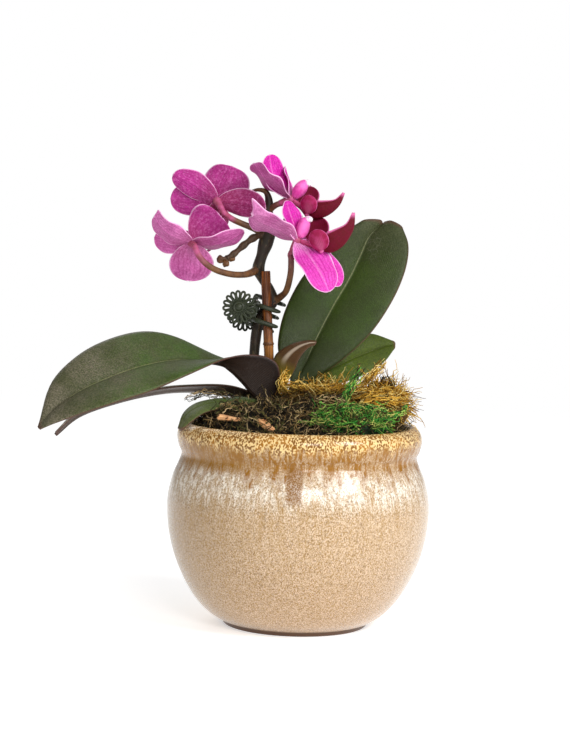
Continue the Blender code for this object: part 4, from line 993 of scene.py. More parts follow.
def leaf_lower(nodes, name, fine, veins):
    """The underside; the young leaf's also has a pale stripe and a green foot."""
    skin = nodes.coat(screen(*LEAF_LOOKS[name][3]), veins, 0.22, 112, 88, 66)
    skin = nodes.coat(skin, fine, 0.25, 46, 34, 28)
    if name == "leaf_young":
        along = nodes.value_of("along")
        stripe = nodes.fall(nodes.unsigned(nodes.plus(nodes.value_of("across"), 0.45)), 0.03, 0.16)
        stripe = nodes.times(stripe, nodes.rise(along, 0.35, 0.55))
        skin = nodes.coat(skin, stripe, 0.75, 184, 168, 146)
        skin = nodes.mix(nodes.rise(along, 0.22, 0.52, 0.9, 0.0), skin, screen(140, 126, 44))
    return skin


def leaf_finish(name):
    """A waxy blade: its two faces, and a thin red margin."""
    # How much grey dust and painted sheen the leaf has.
    dust_and_sheen_amount = LEAF_LOOKS[name][4]

    def build(nodes):
        veins = nodes.effect("veins", count=26.0, width=0.30, wander=0.02)
        fine = nodes.rise(nodes.grain(nodes.place(), 1500.0, 3.0, 0.7), 0.38, 0.62)
        # Grey dust and painted sheen, stronger towards the tip and in blotches.
        dust_and_sheen_spread = nodes.rise(nodes.value_of("along"), 0.45, 0.95, dust_and_sheen_amount * 0.3, dust_and_sheen_amount * 2.1)
        dust = nodes.times(nodes.times(nodes.mottle(18.0, 0.2, 0.8), dust_and_sheen_spread), nodes.plus(0.5, fine))
        upper = leaf_upper(nodes, LEAF_LOOKS[name], dust, veins)
        lower = leaf_lower(nodes, name, fine, veins)
        skin = nodes.mix(nodes.rise(nodes.value_of("under"), 0.45, 0.55), upper, lower)
        skin = nodes.coat(skin, nodes.effect("margin", width=0.035), 0.7, 92, 58, 50)
        height = nodes.plus(nodes.times(veins, -0.6), nodes.cells(0.45))
        return {**nodes.covered(skin, height, 0.00010),
                "Roughness": nodes.rise(dust, 0.0, 0.6, 0.34, 0.55)}
    return new_finish(name + "_skin", build, 0.4, {"Specular IOR Level": 0.2})


@finish("petal_skin", 0.5, {"Specular IOR Level": 0.2})
def petal_finish(nodes):
    """A petal: magenta face, mauve back that is red or pale by tone, veins and a pale margin."""
    along = nodes.value_of("along")
    cloud = nodes.mottle(6.0, 0.3, 0.7)
    fine = nodes.rise(nodes.grain(nodes.place(), 1300.0, 3.0, 0.7), 0.42, 0.58)
    glint = nodes.rise(nodes.grain(nodes.place(), 900.0, 3.0, 0.7, 0.5), 0.46, 0.62)
    front = nodes.mix(nodes.rise(along, 0.1, 0.5, 0.45, 0.0), colour("petal_front"),
                      screen(150, 14, 96))
    front = nodes.mix(nodes.rise(along, 0.02, 0.22, 0.85, 0.0), front, screen(250, 196, 234))
    front = nodes.coat(front, cloud, 0.5, 220, 44, 184)
    front = nodes.coat(front, glint, 0.14, 250, 150, 226)
    back = nodes.mix(nodes.times(cloud, 0.6), colour("petal_back"), screen(150, 44, 112))
    back = nodes.mix(nodes.times(nodes.fall(along, 0.0, 0.45), 0.7), back, screen(146, 44, 92))
    tone = nodes.value_of("tone")
    front = nodes.mix(nodes.rise(tone, 0.0, -1.0, 0.0, 0.3), front, screen(252, 140, 232))
    back = nodes.mix(nodes.rise(tone, 0.0, 1.0), back, screen(140, 44, 74))
    pale = nodes.times(nodes.rise(tone, 0.0, -1.0), nodes.rise(cloud, 0.0, 1.0, 1.0, 0.55))
    back = nodes.mix(pale, back, screen(226, 150, 200))
    veins = nodes.effect("veins", count=5.0, width=0.24, wander=0.34)
    front = nodes.coat(front, veins, 0.7, 186, 14, 140)
    fold = nodes.rise(nodes.unsigned(nodes.value_of("across")), 0.0, 0.12, 0.35, 0.0)
    front = nodes.mix(fold, front, screen(250, 170, 230))
    back = nodes.coat(back, glint, 0.26, 232, 140, 204)
    back = nodes.coat(back, veins, 0.32, 132, 24, 90)
    skin = nodes.mix(nodes.rise(nodes.value_of("under"), 0.45, 0.55), front, back)
    skin = nodes.coat(skin, fine, 0.32, 128, 8, 84)
    edge = nodes.effect("margin", width=0.09)
    skin = nodes.coat(skin, edge, 0.85, 250, 196, 232)
    height = nodes.plus(nodes.cells(0.35), nodes.times(veins, -0.8))
    return nodes.covered(skin, height, 0.00010)


@finish("lip_velvet", 0.5, {"Specular IOR Level": 0.15})
def lip_finish(nodes):
    """Dark crimson lip with a pale pink rim, a pink throat, a painted glow of light shining through the
    middles of its claw and side lobes, and darker lines.
    """
    tone = nodes.value_of("tone")
    cloud = nodes.mottle(2.2, 0.35, 0.65)
    deep = nodes.mix(cloud, colour("lip_red"), screen(92, 2, 22))
    rosy = nodes.mix(cloud, screen(190, 44, 110), screen(160, 22, 76))
    skin = nodes.mix(tone, deep, rosy)
    # Painted glow: pale pink where light shines through the middle of the claw and side lobes.
    middle = nodes.fall(nodes.unsigned(nodes.value_of("across")), 0.1, 0.75)
    middle = nodes.times(middle, nodes.fall(nodes.value_of("along"), 0.15, 0.75))
    middle = nodes.times(middle, nodes.rise(tone, 0.0, 0.6, 0.0, 0.45))
    skin = nodes.mix(middle, skin, screen(216, 116, 160))
    veins = nodes.effect("veins", count=6.0, width=0.16, wander=0.1)
    skin = nodes.coat(skin, veins, 0.5, 80, 8, 26)
    edge = nodes.effect("margin", width=0.10)
    skin = nodes.coat(skin, edge, 0.75, 232, 120, 180)
    return nodes.covered(skin, nodes.cells(0.35), 0.00010)


@finish("lip_callus", 0.4)
def callus_finish(nodes):
    """The small yellow cushion in the throat, dotted with red."""
    dots = nodes.add("ShaderNodeTexVoronoi", {"Vector": nodes.place(), "Scale": 1500.0})
    dot = nodes.fall(dots.outputs["Distance"], 0.25, 0.4)
    skin = nodes.mix(dot, screen(240, 214, 128), screen(176, 40, 40))
    return nodes.covered(skin, nodes.cells(0.3), 0.00006)


@finish("stem_skin", 0.45, {"Specular IOR Level": 0.25})
def stem_finish(nodes):
    """Brown green stem; its tone runs from dark bark brown to the pink of a flower stalk."""
    tone = nodes.value_of("tone")
    patch = nodes.mottle(4.5, 0.35, 0.65)
    line = nodes.grain(nodes.stretched(nodes.place(), 1.0, 1.0, 0.2), 900.0, 3.0, 0.6)
    dark = nodes.mix(patch, colour("stem_brown"), screen(40, 34, 24))
    warm = nodes.mix(patch, screen(110, 74, 44), screen(84, 56, 38))
    pink = nodes.mix(patch, screen(184, 82, 132), screen(158, 70, 96))
    skin = nodes.mix(nodes.rise(tone, 0.15, 0.5), dark, warm)
    skin = nodes.mix(nodes.rise(tone, 0.55, 1.0), skin, pink)
    skin = nodes.mix(nodes.times(nodes.rise(line, 0.5, 0.7), 0.25), skin, screen(134, 112, 78))
    return nodes.covered(skin, line, 0.00012)


@finish("bamboo_stake", 0.42, {"Specular IOR Level": 0.3})
def bamboo_finish(nodes):
    """Orange brown bamboo with long fibres, darker above its upper node."""
    place = nodes.place()
    z = nodes.parts(place)[2]
    fibre = nodes.grain(nodes.stretched(place, 1.0, 1.0, 0.03), 1700.0, 4.0, 0.65)
    low = nodes.mix(nodes.rise(fibre, 0.35, 0.65), colour("bamboo"), screen(158, 102, 44))
    high = nodes.mix(nodes.rise(fibre, 0.42, 0.66), screen(74, 40, 22), screen(146, 84, 34))
    skin = nodes.mix(nodes.rise(z, 0.126, 0.134), low, high)
    ring = nodes.fall(nodes.unsigned(nodes.minus(z, 0.1286)), 0.0003, 0.0012)
    skin = nodes.coat(skin, ring, 0.6, 60, 36, 24)
    return nodes.covered(skin, fibre, 0.00015)


@finish("clip_plastic", 0.4, {"Specular IOR Level": 0.3})
def plastic_finish(nodes):
    """Dark green moulded plastic with a faint dusting."""
    dust = nodes.mottle(3.0, 0.4, 0.7)
    skin = nodes.mix(nodes.times(dust, 0.4), colour("clip_green"), screen(70, 74, 54))
    return nodes.covered(skin, nodes.cells(0.5), 0.00004)


@finish("drawn_steel", 0.3, {"Metallic": 1.0})
def steel_finish(nodes):
    """Drawn steel wire."""
    draw = nodes.grain(nodes.stretched(nodes.place(), 1.0, 1.0, 0.2), 2600.0, 3.0)
    skin = nodes.mix(draw, screen(150, 150, 148), screen(196, 196, 194))
    return {"Base Color": skin, "Roughness": nodes.rise(draw, 0.3, 0.7, 0.22, 0.4)}


# Pieces


def make_bowl():
    """The bowl, with a rolled lip and a small bare foot."""
    rim = smooth_route([Vector((*point, 0.0)) for point in POT_INSIDE + POT_OUTSIDE],
                       5 * (len(POT_INSIDE) + len(POT_OUTSIDE)))
    profile = [(0.05, POT_INSIDE[0][1])] + [(point.x, point.y) for point in rim] + POT_FOOT
    shape = Shape()
    turned(shape, profile, sizes().bowl_sides, wobble=0.12)
    add_piece("glazed_bowl", shape.mesh("glazed_bowl"), [glaze_finish()], PLANT, ["pot"])


def make_crown():
    """The short stem under the leaves, with its thick roots."""
    shape = Shape()
    x, y = CROWN_CENTRE
    profile = [(point.x, point.y) for point in
               smooth_route([Vector((*point, 0.0)) for point in CROWN_PROFILE], 28)]
    turned(shape, [(max(radius, 0.05), height) for radius, height in profile], 36,
           Matrix.Translation((x, y, 0.0)))
    for index, turn in enumerate(ROOT_TURNS):
        way = Vector((math.cos(math.radians(turn)), math.sin(math.radians(turn)), 0.0))
        route = [Vector((x, y, 0.0)) + way * reach + Vector((0.0, 0.0, height))
                 for reach, height in ((1.5, 82.5), (9.0, 79.0), (17.0, 69.0), (20.0, 54.0),
                                       (15.0 + 2.0 * index, 36.0))]
        radii = [ROOT_RADIUS] * 22 + [ROOT_RADIUS * 0.8, ROOT_RADIUS * 0.6, ROOT_RADIUS * 0.3]
        tube(shape, smooth_route(route, 24), radii, 14)
    add_piece("crown_with_roots", shape.mesh("crown_with_roots"), [two_tone_finish("root_velvet")],
              PLANT, ["crown_and_roots"])


def dress_bark():
    """The potting bark keeps its CAD shape, which the moss covers, and gets its finish."""
    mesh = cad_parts["bark_mix"].data
    mesh.materials.clear()
    mesh.materials.append(bark_finish())


def make_chips():
    """The broken chips of bark, with a ragged grain."""
    for name, (centre, size, turn, lean) in CHIPS.items():
        place = Matrix.Translation(Vector(centre)) @ spun(turn, "Z") @ spun(lean, "Y")
        shape = Shape()
        rows = 40

        def point_at(row, angle):
            share = row / rows
            taper = (1.0 - 0.35 * share) * min(1.0, math.sqrt(max(1.0 - (2 * share - 1) ** 12, 0.0)) + 0.25)
            way = Vector((squared(math.cos(angle), 0.6), squared(math.sin(angle), 0.6), 0.0))
            seedling = Vector((share * 5.0, way.x * 2.2, way.y * 2.2)) + Vector(centre)
            ragged = 1.0 + 0.22 * noise.noise(seedling) + 0.10 * noise.noise(seedling * 3.0)
            end = 0.9 * noise.noise(Vector((way.x * 1.6, way.y * 1.6, centre[0])))
            x = (share - 0.5) * size[0] + end * (2 * share - 1) ** 3
            return place @ Vector((x, way.x * size[1] / 2 * taper * ragged,
                                   way.y * size[2] / 2 * taper * ragged))
        shape.round_rings(rows, 28, point_at)
        add_piece(name + "_wood", shape.mesh(name), [chip_finish()], PLANT, [name])


def leaf_surface(rails):
    """The middle of a leaf's blade, gently bowed from its grooved midrib to each edge."""
    middle, near, far = (vectors(rails[key]) for key in ("middle", "near", "far"))

    def surface(across, along):
        edge = near if across < 0 else far
        reach = abs(across)
        point = along_rail(middle, along).lerp(along_rail(edge, along), reach)
        width = (along_rail(near, along) - along_rail(far, along)).length
        full = min(width / 20.0, 1.0)
        ahead = along_rail(middle, min(along + 0.01, 1.0)) - along_rail(middle, max(along - 0.01, 0.0))
        aside = along_rail(far, along) - along_rail(near, along)
        up = aside.cross(ahead).normalized()
        sway = rails["wave"] * math.sin(9.0 * along + 2.0 * across) * reach ** 2
        lift = (rails["bow"] * 4.0 * reach * (1.0 - reach) * full - 0.5 * hump(0.07, across) * full
                + sway * full)
        end = smooth_step(0.86, 1.0, along)
        push = end * (rails["round"] * (1.0 - reach ** 2) - rails["notch"] * hump(0.16, across))
        return point + up * lift + ahead.normalized() * push
    return surface


def make_leaves():
    """The six leaves."""
    for name, rails in LEAVES.items():
        shape = Shape()
        young = name == "leaf_young"
        thickness = sizes().leaf_thickness / MM * (YOUNG_SHARE if young else GROWN_SHARE)
        blade(shape, leaf_surface(rails), LEAF_ROWS, LEAF_COLUMNS, thickness)
        add_piece(name + "_blade", shape.mesh(name), [leaf_finish(name)], PLANT,
                  [name])


def make_stake():
    """The bamboo stake: node rings, a frayed cut top and a pointed foot."""
    foot, top = Vector(STAKE_FOOT), Vector(STAKE_TOP)
    length = (top - foot).length
    profile = [(0.05, length - 0.5), (0.7, length - 0.45), (0.85, length - 0.02),
               (STAKE_RADIUS - 0.25, length), (STAKE_RADIUS, length - 0.25)]
    for height in sorted(STAKE_NODE_HEIGHTS, reverse=True):
        middle = height - foot.z
        profile += [(STAKE_RADIUS + reach, middle + shift) for shift, reach in STAKE_NODE_SWELL]
    profile += [(STAKE_RADIUS, 5.0), (0.8, 0.3), (0.05, 0.0)]
    turn = Vector((0.0, 0.0, 1.0)).rotation_difference(top - foot).to_matrix().to_4x4()
    shape = Shape()
    turned(shape, profile, 28, Matrix.Translation(foot) @ turn)
    mesh = shape.mesh("bamboo_stake")
    mesh.set_sharp_from_angle(angle=math.radians(STAKE_CREASE))
    add_piece("bamboo_stake", mesh, [bamboo_finish()], PLANT, ["stake"])


def neck_end(flower):
    """Where a flower's neck stops, behind its centre."""
    return Vector(flower["centre"]) + Vector(flower["neck"]).normalized() * NECK_LENGTH


def bract(shape, foot, way, out, length):
    """A small pointed scale that clasps the stem at a node."""
    way = way.normalized()
    side = way.cross(out).normalized()
    away = side.cross(way).normalized()

    def surface(across, along):
        half = 2.4 * math.sqrt(max(1.0 - along ** 1.6, 0.0)) + 0.1
        wrap = 2.0 * (1.0 - along) * (1.0 - across ** 2)
        return (Vector(foot) + way * length * along + side * half * across
                + away * (0.6 + wrap + 1.4 * along ** 2))
    blade(shape, surface, 10, 8, 0.5, tone=0.35)


def add_stalks(shape):
    """The stalk of each flower, up to its neck."""
    for name, flower in FLOWERS.items():
        neck = Vector(flower["neck"]).normalized()
        end = neck_end(flower)
        path = vectors(flower["stalk"]) + [end + neck * 2.2, end]
        steps = 8 * len(path)
        radii = [STALK_RADIUS + 0.5 * (1.0 - min(4.0 * step / steps, 1.0)) - 0.15 * step / steps
                 for step in range(steps + 1)]
        tube(shape, smooth_route(path, steps), radii, 14, tone=STALK_TONES[name])


def add_bud_branch(shape):
    """The short branch with its small buds."""
    tube(shape, smooth_route(vectors(BUD_BRANCH), 36), [1.75 - 0.4 * step / 36 for step in range(37)],
         12, tone=0.28, swell=lambda along: 1.0 + 0.16 * math.sin(26.0 * along))
    for index, centre in enumerate(BUDS):
        start = Vector(BUD_BRANCH[-1])
        tube(shape, [start.lerp(Vector(centre), share) for share in (0.0, 0.5, 1.0)],
             [1.0, 0.9, 0.8], 8, tone=0.35)
        egg(shape, centre, (BUD_RADIUS * 1.1, BUD_RADIUS * 0.9, BUD_RADIUS * 1.2),
            Matrix.Rotation(0.7 * index, 3, "Y"), 16, 12, tone=0.42, rough=0.3, grain=1.2)


def make_spike():
    """The flower spike: jointed stem, a stalk up to each flower, and a branch with small buds."""
    shape = Shape()
    route = vectors(SPIKE_STEM)
    widths = [Vector((point[3], 0.0, 0.0)) for point in SPIKE_STEM]
    count = 110
    radii = [along_rail(widths, step / count).x for step in range(count + 1)]
    tube(shape, smooth_route(route, count), radii, 18,
         tone=lambda along: 0.1 + 0.38 * smooth_step(0.82, 0.95, along),
         swell=lambda along: (1.0 + 0.03 * math.sin(70.0 * along)
                              + 0.12 * smooth_step(0.50, 0.62, along) * smooth_step(0.85, 0.75, along)
                              - 0.15 * smooth_step(0.86, 0.96, along)))
    add_stalks(shape)
    add_bud_branch(shape)
    for place, out, length in BRACTS:
        way = route[place + 1] - route[place]
        bract(shape, route[place] - way.normalized() * 1.5, way, Vector(out), length)
    add_piece("spike_and_stalks", shape.mesh("spike_and_stalks"), [stem_finish()], PLANT,
              ["flower_spike"])


def frame_of(flower):
    """The directions forward, sideways and up of a flower's lip and column."""
    forward = Vector(flower["faces"]).normalized()
    sideways = Vector(flower["top"]).cross(forward).normalized()
    return forward, sideways, forward.cross(sideways)


def petal_surface(centre, petal, corner):
    """A petal from the flower's centre to its tip, with a waved margin and a soft middle fold."""
    tip, face, width, kind, bow, ruffle, curl = petal
    start, spine = Vector(centre), Vector(tip)
    side = spine.cross(Vector(face)).normalized()
    up = side.cross(spine).normalized()
    widest, tip_power = WIDEST[kind], TIP_POWER[kind]
    foot_power = tip_power * widest / (1.0 - widest)
    phase = spine.x + spine.z

    def surface(across, along):
        share = 1.0 - (1.0 - along) ** 1.7
        rise = (share / widest) ** foot_power
        fall = ((1.0 - share) / (1.0 - widest)) ** tip_power
        full = rise * fall
        half = max(width / 2 * full, 1.3 if share < 0.5 else 0.3)
        wave = ruffle * abs(across) ** 2.5 * math.sin(11.0 * share + 2.2 * across + phase) * full
        lift = (bow * math.sin(math.pi * share) + 0.9 * across ** 2 * full + wave
                - 0.35 * hump(0.16, across) * full + curl * smooth_step(0.7, 1.0, share) ** 1.5)
        point = start + spine * share + side * half * across + up * lift
        if corner:
            hand, drawn = corner
            pull = smooth_step(0.62, 1.0, across * hand) ** 2 * hump(0.045, share - 0.94)
            point += Vector(drawn) * pull
        return point
    return surface


def make_blooms():
    """Each flower without its lip: sepals, petals, column with its cap, and neck."""
    for name, flower in FLOWERS.items():
        shape = Shape()
        centre = Vector(flower["centre"])
        forward, sideways, up = frame_of(flower)
        for index, petal in enumerate(flower["petals"]):
            tone = BACK_TONES.get((name, index), 0.0)
            blade(shape, petal_surface(centre, petal, CORNERS.get((name, index))), PETAL_ROWS,
                  PETAL_COLUMNS, sizes().petal_thickness / MM, tone=tone)
        turn = Matrix((forward, sideways, up)).transposed()
        lean = spun(COLUMN_LEAN, "Y", 3)
        ahead, aside, height = COLUMN_CENTRE
        place = centre + forward * ahead + sideways * aside + up * height
        egg(shape, place, COLUMN_SIZE, turn @ lean, 32, 22, finish=1, rough=0.05, grain=3.0)
        cap = centre + forward * 7.0 + up * 8.6
        egg(shape, cap, (1.9, 2.0, 1.5), turn @ lean, 20, 14, finish=2)
        egg(shape, centre, (2.0, 2.0, 2.0), Matrix.Identity(3), 18, 12, tone=1.0, finish=3)
        end = neck_end(flower)
        tube(shape, [centre.lerp(end, share / 6) for share in range(7)],
             [NECK_RADIUS + 0.3 * (1 - share / 6) for share in range(7)], 16, tone=0.95, finish=3)
        add_piece("bloom_" + name + "_petals", shape.mesh("bloom_" + name),
                  [petal_finish(), two_tone_finish("column_skin"), two_tone_finish("anther_cap"),
                   stem_finish()], PLANT, ["bloom_" + name])


def lip_surface(centre, directions, size):
    """The lip's pointed middle lobe: a deep trough that curls up to its tip."""
    forward, sideways, up = directions
    keel = [Vector(point) * size for point in LIP_KEEL]
    sides = [Vector((height, spread, 0.0)) * size for height, spread in LIP_SIDES]

    def surface(across, along):
        point = along_rail(keel, along)
        ahead = along_rail(keel, min(along + 0.02, 1.0)) - along_rail(keel, max(along - 0.02, 0.0))
        inward = Vector((-ahead.z, 0.0, ahead.x)).normalized()
        side = along_rail(sides, along)
        point = point + inward * side.x * abs(across) ** 1.5
        flare = 1.0 + 0.22 * smooth_step(0.75, 1.0, abs(across))
        return centre + forward * point.x - sideways * side.y * across * flare + up * point.z
    return surface


def lobe_surface(centre, directions, size, hand, tall):
    """One of the lip's two round side lobes, cupped towards the column; a tall one stands up."""
    forward, sideways, up = directions
    ahead, out, height = Vector(TALL_LOBE_CENTRE if tall else LIP_LOBE_CENTRE) * size
    radius = (TALL_LOBE_RADIUS if tall else LIP_LOBE_RADIUS) * size

    def surface(across, along):
        turn = math.pi * (0.03 + 0.94 * along)
        reach = radius * math.sin(turn) * across
        rise = -radius * math.cos(turn)
        cup = 1.5 * (1.0 - (reach ** 2 + rise ** 2) / radius ** 2)
        return (centre + forward * (ahead + reach * hand)
                + sideways * hand * (out + cup + LIP_LOBE_SPLAY * rise) + up * (height + rise))
    return surface


def make_lips():
    """Each flower's lip: claw, two side lobes, middle lobe and the small callus in its throat."""
    for name, flower in FLOWERS.items():
        shape = Shape()
        centre = Vector(flower["centre"])
        directions = frame_of(flower)
        forward, sideways, up = directions
        size = flower["lip_size"]
        claw = [centre + (forward * x + sideways * y + up * z) * size for x, y, z in LIP_CLAW]
        widths = [Vector((width, 0.0, 0.0)) for width in (1.1, 1.3, 2.1)]
        tube(shape, smooth_route(claw, 12), [along_rail(widths, step / 12).x for step in range(13)],
             16, tone=0.8)
        blade(shape, lip_surface(centre, directions, size), 36, 26, LIP_THICKNESS, tone=0.0)
        for hand in (-1.0, 1.0):
            tall = hand > 0 and name in TALL_LOBES
            blade(shape, lobe_surface(centre, directions, size, hand, tall), 24, 20, LIP_THICKNESS,
                  tone=0.1 if tall else 0.6)
        turn = Matrix(directions).transposed()
        for hand in (-1.0, 1.0):
            place = centre + (forward * 8.4 + sideways * hand * 0.9 - up * 2.6) * size
            egg(shape, place, (1.5, 0.9, 1.2), turn, 14, 10, finish=1)
        add_piece("lip_" + name + "_lobes", shape.mesh("lip_" + name),
                  [lip_finish(), callus_finish()], PLANT, ["lip_" + name])


# Moss


def finished(nodes, geometry, given):
    """The geometry made real, in the finish that the tree is given."""
    geometry = nodes.out("GeometryNodeRealizeInstances", {0: geometry})
    return nodes.out("GeometryNodeSetMaterial", {"Geometry": geometry, "Material": given["Finish"]})


# What the moss's geometry tree asks for: each input's kind and plain value
STRAND_INPUTS = {
    "Core": ("Geometry", None), "Density": ("Float", 500000.0), "Length": ("Float", 0.006),
    "Radius": ("Float", 0.00015), "Curl": ("Float", 0.003), "Knot": ("Float", 260.0),
    "Spread": ("Float", 0.9), "Rise": ("Float", 0.5), "Facing": ("Float", 0.1),
    "Lean": ("Vector", None), "Seed": ("Int", 1), "Points": ("Int", 6), "Finish": ("Material", None),
}


def scattered_lines(nodes, given):
    """Straight lines of random lengths and ways, on every face of a core that looks up."""
    normal = nodes.out("GeometryNodeInputNormal")
    upward = nodes.out("FunctionNodeCompare", {0: nodes.parts(normal)[2], 1: given["Facing"]},
                       data_type="FLOAT", operation="GREATER_THAN")
    spots = nodes.add("GeometryNodeDistributePointsOnFaces",
                      {"Mesh": given["Core"], "Selection": upward, "Density": given["Density"],
                       "Seed": given["Seed"]})
    chance = nodes.out("FunctionNodeRandomValue", {0: (-1.0, -1.0, -1.0), 1: (1.0, 1.0, 1.0),
                                                   "Seed": given["Seed"]},
                       data_type="FLOAT_VECTOR")
    chance = nodes.vector("CROSS_PRODUCT", spots.outputs["Normal"], chance)
    chance = nodes.longer(chance, given["Spread"])
    out = nodes.longer(spots.outputs["Normal"], given["Rise"])
    way = nodes.vector("ADD", out, chance)
    way = nodes.vector("ADD", way, given["Lean"])
    turn = nodes.out("FunctionNodeAlignRotationToVector", {"Vector": way}, axis="Z")
    size = nodes.add("FunctionNodeRandomValue", {2: 0.45, 3: 1.5, "Seed": 11},
                     data_type="FLOAT").outputs[1]
    length = nodes.times(size, given["Length"])
    line = nodes.out("GeometryNodeCurvePrimitiveLine", {1: (0.0, 0.0, 1.0)})
    line = nodes.out("GeometryNodeResampleCurve", {"Curve": line, "Count": given["Points"]})
    strands = nodes.out("GeometryNodeInstanceOnPoints",
                        {"Points": spots.outputs["Points"], "Instance": line, "Rotation": turn,
                         "Scale": length})
    tone = nodes.add("FunctionNodeRandomValue", {"Seed": 5}, data_type="FLOAT").outputs[1]
    strands = nodes.out("GeometryNodeStoreNamedAttribute",
                        {"Geometry": strands, "Name": "tone", "Value": tone},
                        data_type="FLOAT", domain="INSTANCE")
    return nodes.out("GeometryNodeRealizeInstances", {0: strands})


def curled(nodes, given, strands, share):
    """The strands, pushed about by smooth noise that grows towards their tips."""
    place = nodes.out("GeometryNodeInputPosition")
    own = nodes.out("GeometryNodeInputNamedAttribute", {"Name": "tone"}, data_type="FLOAT")
    apart = nodes.out("ShaderNodeCombineXYZ", {0: nodes.times(own, 0.05)})
    apart = nodes.vector("ADD", place, apart)
    drift = nodes.add("ShaderNodeTexNoise", {"Vector": apart, "Scale": given["Knot"],
                                             "Detail": 1.0}).outputs["Color"]
    drift = nodes.vector("SUBTRACT", drift, (0.5, 0.5, 0.5))
    reach = nodes.times(nodes.times(share, 4.0), given["Curl"])
    drift = nodes.longer(drift, reach)
    return nodes.out("GeometryNodeSetPosition", {"Geometry": strands, "Offset": drift})


def grow_strands(nodes, given):
    """Curled tapering strands on a core, joined with it."""
    share = nodes.add("GeometryNodeSplineParameter").outputs["Factor"]
    strands = curled(nodes, given, scattered_lines(nodes, given), share)
    ring = nodes.out("GeometryNodeCurvePrimitiveCircle", {"Resolution": 3, "Radius": given["Radius"]})
    taper = nodes.minus(1.0, nodes.times(share, 0.7))
    hairs = nodes.out("GeometryNodeCurveToMesh", {"Curve": strands, "Profile Curve": ring,
                                                  "Scale": taper, "Fill Caps": True})
    joined = nodes.add("GeometryNodeJoinGeometry", {0: hairs})
    nodes.join(given["Core"], joined.inputs[0])
    return finished(nodes, joined.outputs[0], given)


def strand_tree():
    """The geometry tree of the moss."""
    return new_tree("Moss strands", "GeometryNodeTree", STRAND_INPUTS, "Moss", "Geometry", grow_strands)


def grown(name, core, tree, inputs):
    """The plain mesh that a geometry tree makes from a core mesh."""
    holder = new_object(name, core)
    growth = holder.modifiers.new("Growth", "NODES")
    growth.node_group = tree
    for item in tree.interface.items_tree:
        if item.in_out == "INPUT" and item.name in inputs:
            growth[item.identifier] = inputs[item.name]
    graph = bpy.context.evaluated_depsgraph_get()
    mesh = bpy.data.meshes.new_from_object(holder.evaluated_get(graph))
    bpy.data.objects.remove(holder)
    bpy.data.meshes.remove(core)
    return mesh


def moss_core(node, cuts, rough, grain):
    """A copy of a moss solid, welded, split finer and roughened."""
    bm = bmesh.new()
    bm.from_mesh(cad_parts[node].data)
    bmesh.ops.remove_doubles(bm, verts=bm.verts[:], dist=0.00001)
    bmesh.ops.subdivide_edges(bm, edges=bm.edges[:], cuts=cuts, use_grid_fill=True)
    bm.normal_update()
    for vertex in bm.verts:
        lump = noise.noise(vertex.co / MM / grain) + 0.5 * noise.noise(vertex.co / MM / grain * 2.3)
        vertex.co += vertex.normal * lump * rough * MM
    mesh = bpy.data.meshes.new(node + "_core")
    bm.to_mesh(mesh)
    bm.free()
    mesh.materials.clear()
    return mesh


# Colours of the mosses by tone, and how their strands grow
BROWN_MOSS = [(0.0, (18, 15, 8)), (0.35, (50, 40, 26)), (0.6, (92, 74, 46)), (0.72, (92, 96, 50)),
              (0.84, (158, 124, 78)), (0.95, (206, 178, 130))]
GOLD_MOSS = [(0.0, (84, 56, 12)), (0.2, (156, 108, 26)), (0.45, (208, 154, 50)), (0.7, (232, 188, 80)),
             (0.9, (250, 224, 140))]
GREEN_MOSS = [(0.0, (16, 34, 12)), (0.18, (92, 70, 38)), (0.3, (34, 92, 30)), (0.55, (64, 146, 50)),
              (0.75, (120, 178, 70)), (0.9, (196, 196, 104))]
STRANDS = {
    "moss_bed": {"Density": 360000.0, "Radius": 0.00033, "Curl": 0.0023, "Knot": 420.0,
                 "Spread": 1.0, "Rise": 0.42, "Seed": 3, "Points": 7},
    "moss_gold": {"Density": 800000.0, "Length": 0.0080, "Radius": 0.00032, "Curl": 0.0018,
                  "Knot": 260.0, "Spread": 1.0, "Rise": 0.10, "Lean": (0.25, -0.1, 0.0),
                  "Seed": 7, "Points": 8},
    "moss_green": {"Density": 1300000.0, "Length": 0.0046, "Radius": 0.00030, "Curl": 0.0026,
                   "Knot": 480.0, "Spread": 1.0, "Rise": 0.40, "Seed": 9, "Points": 7},
}
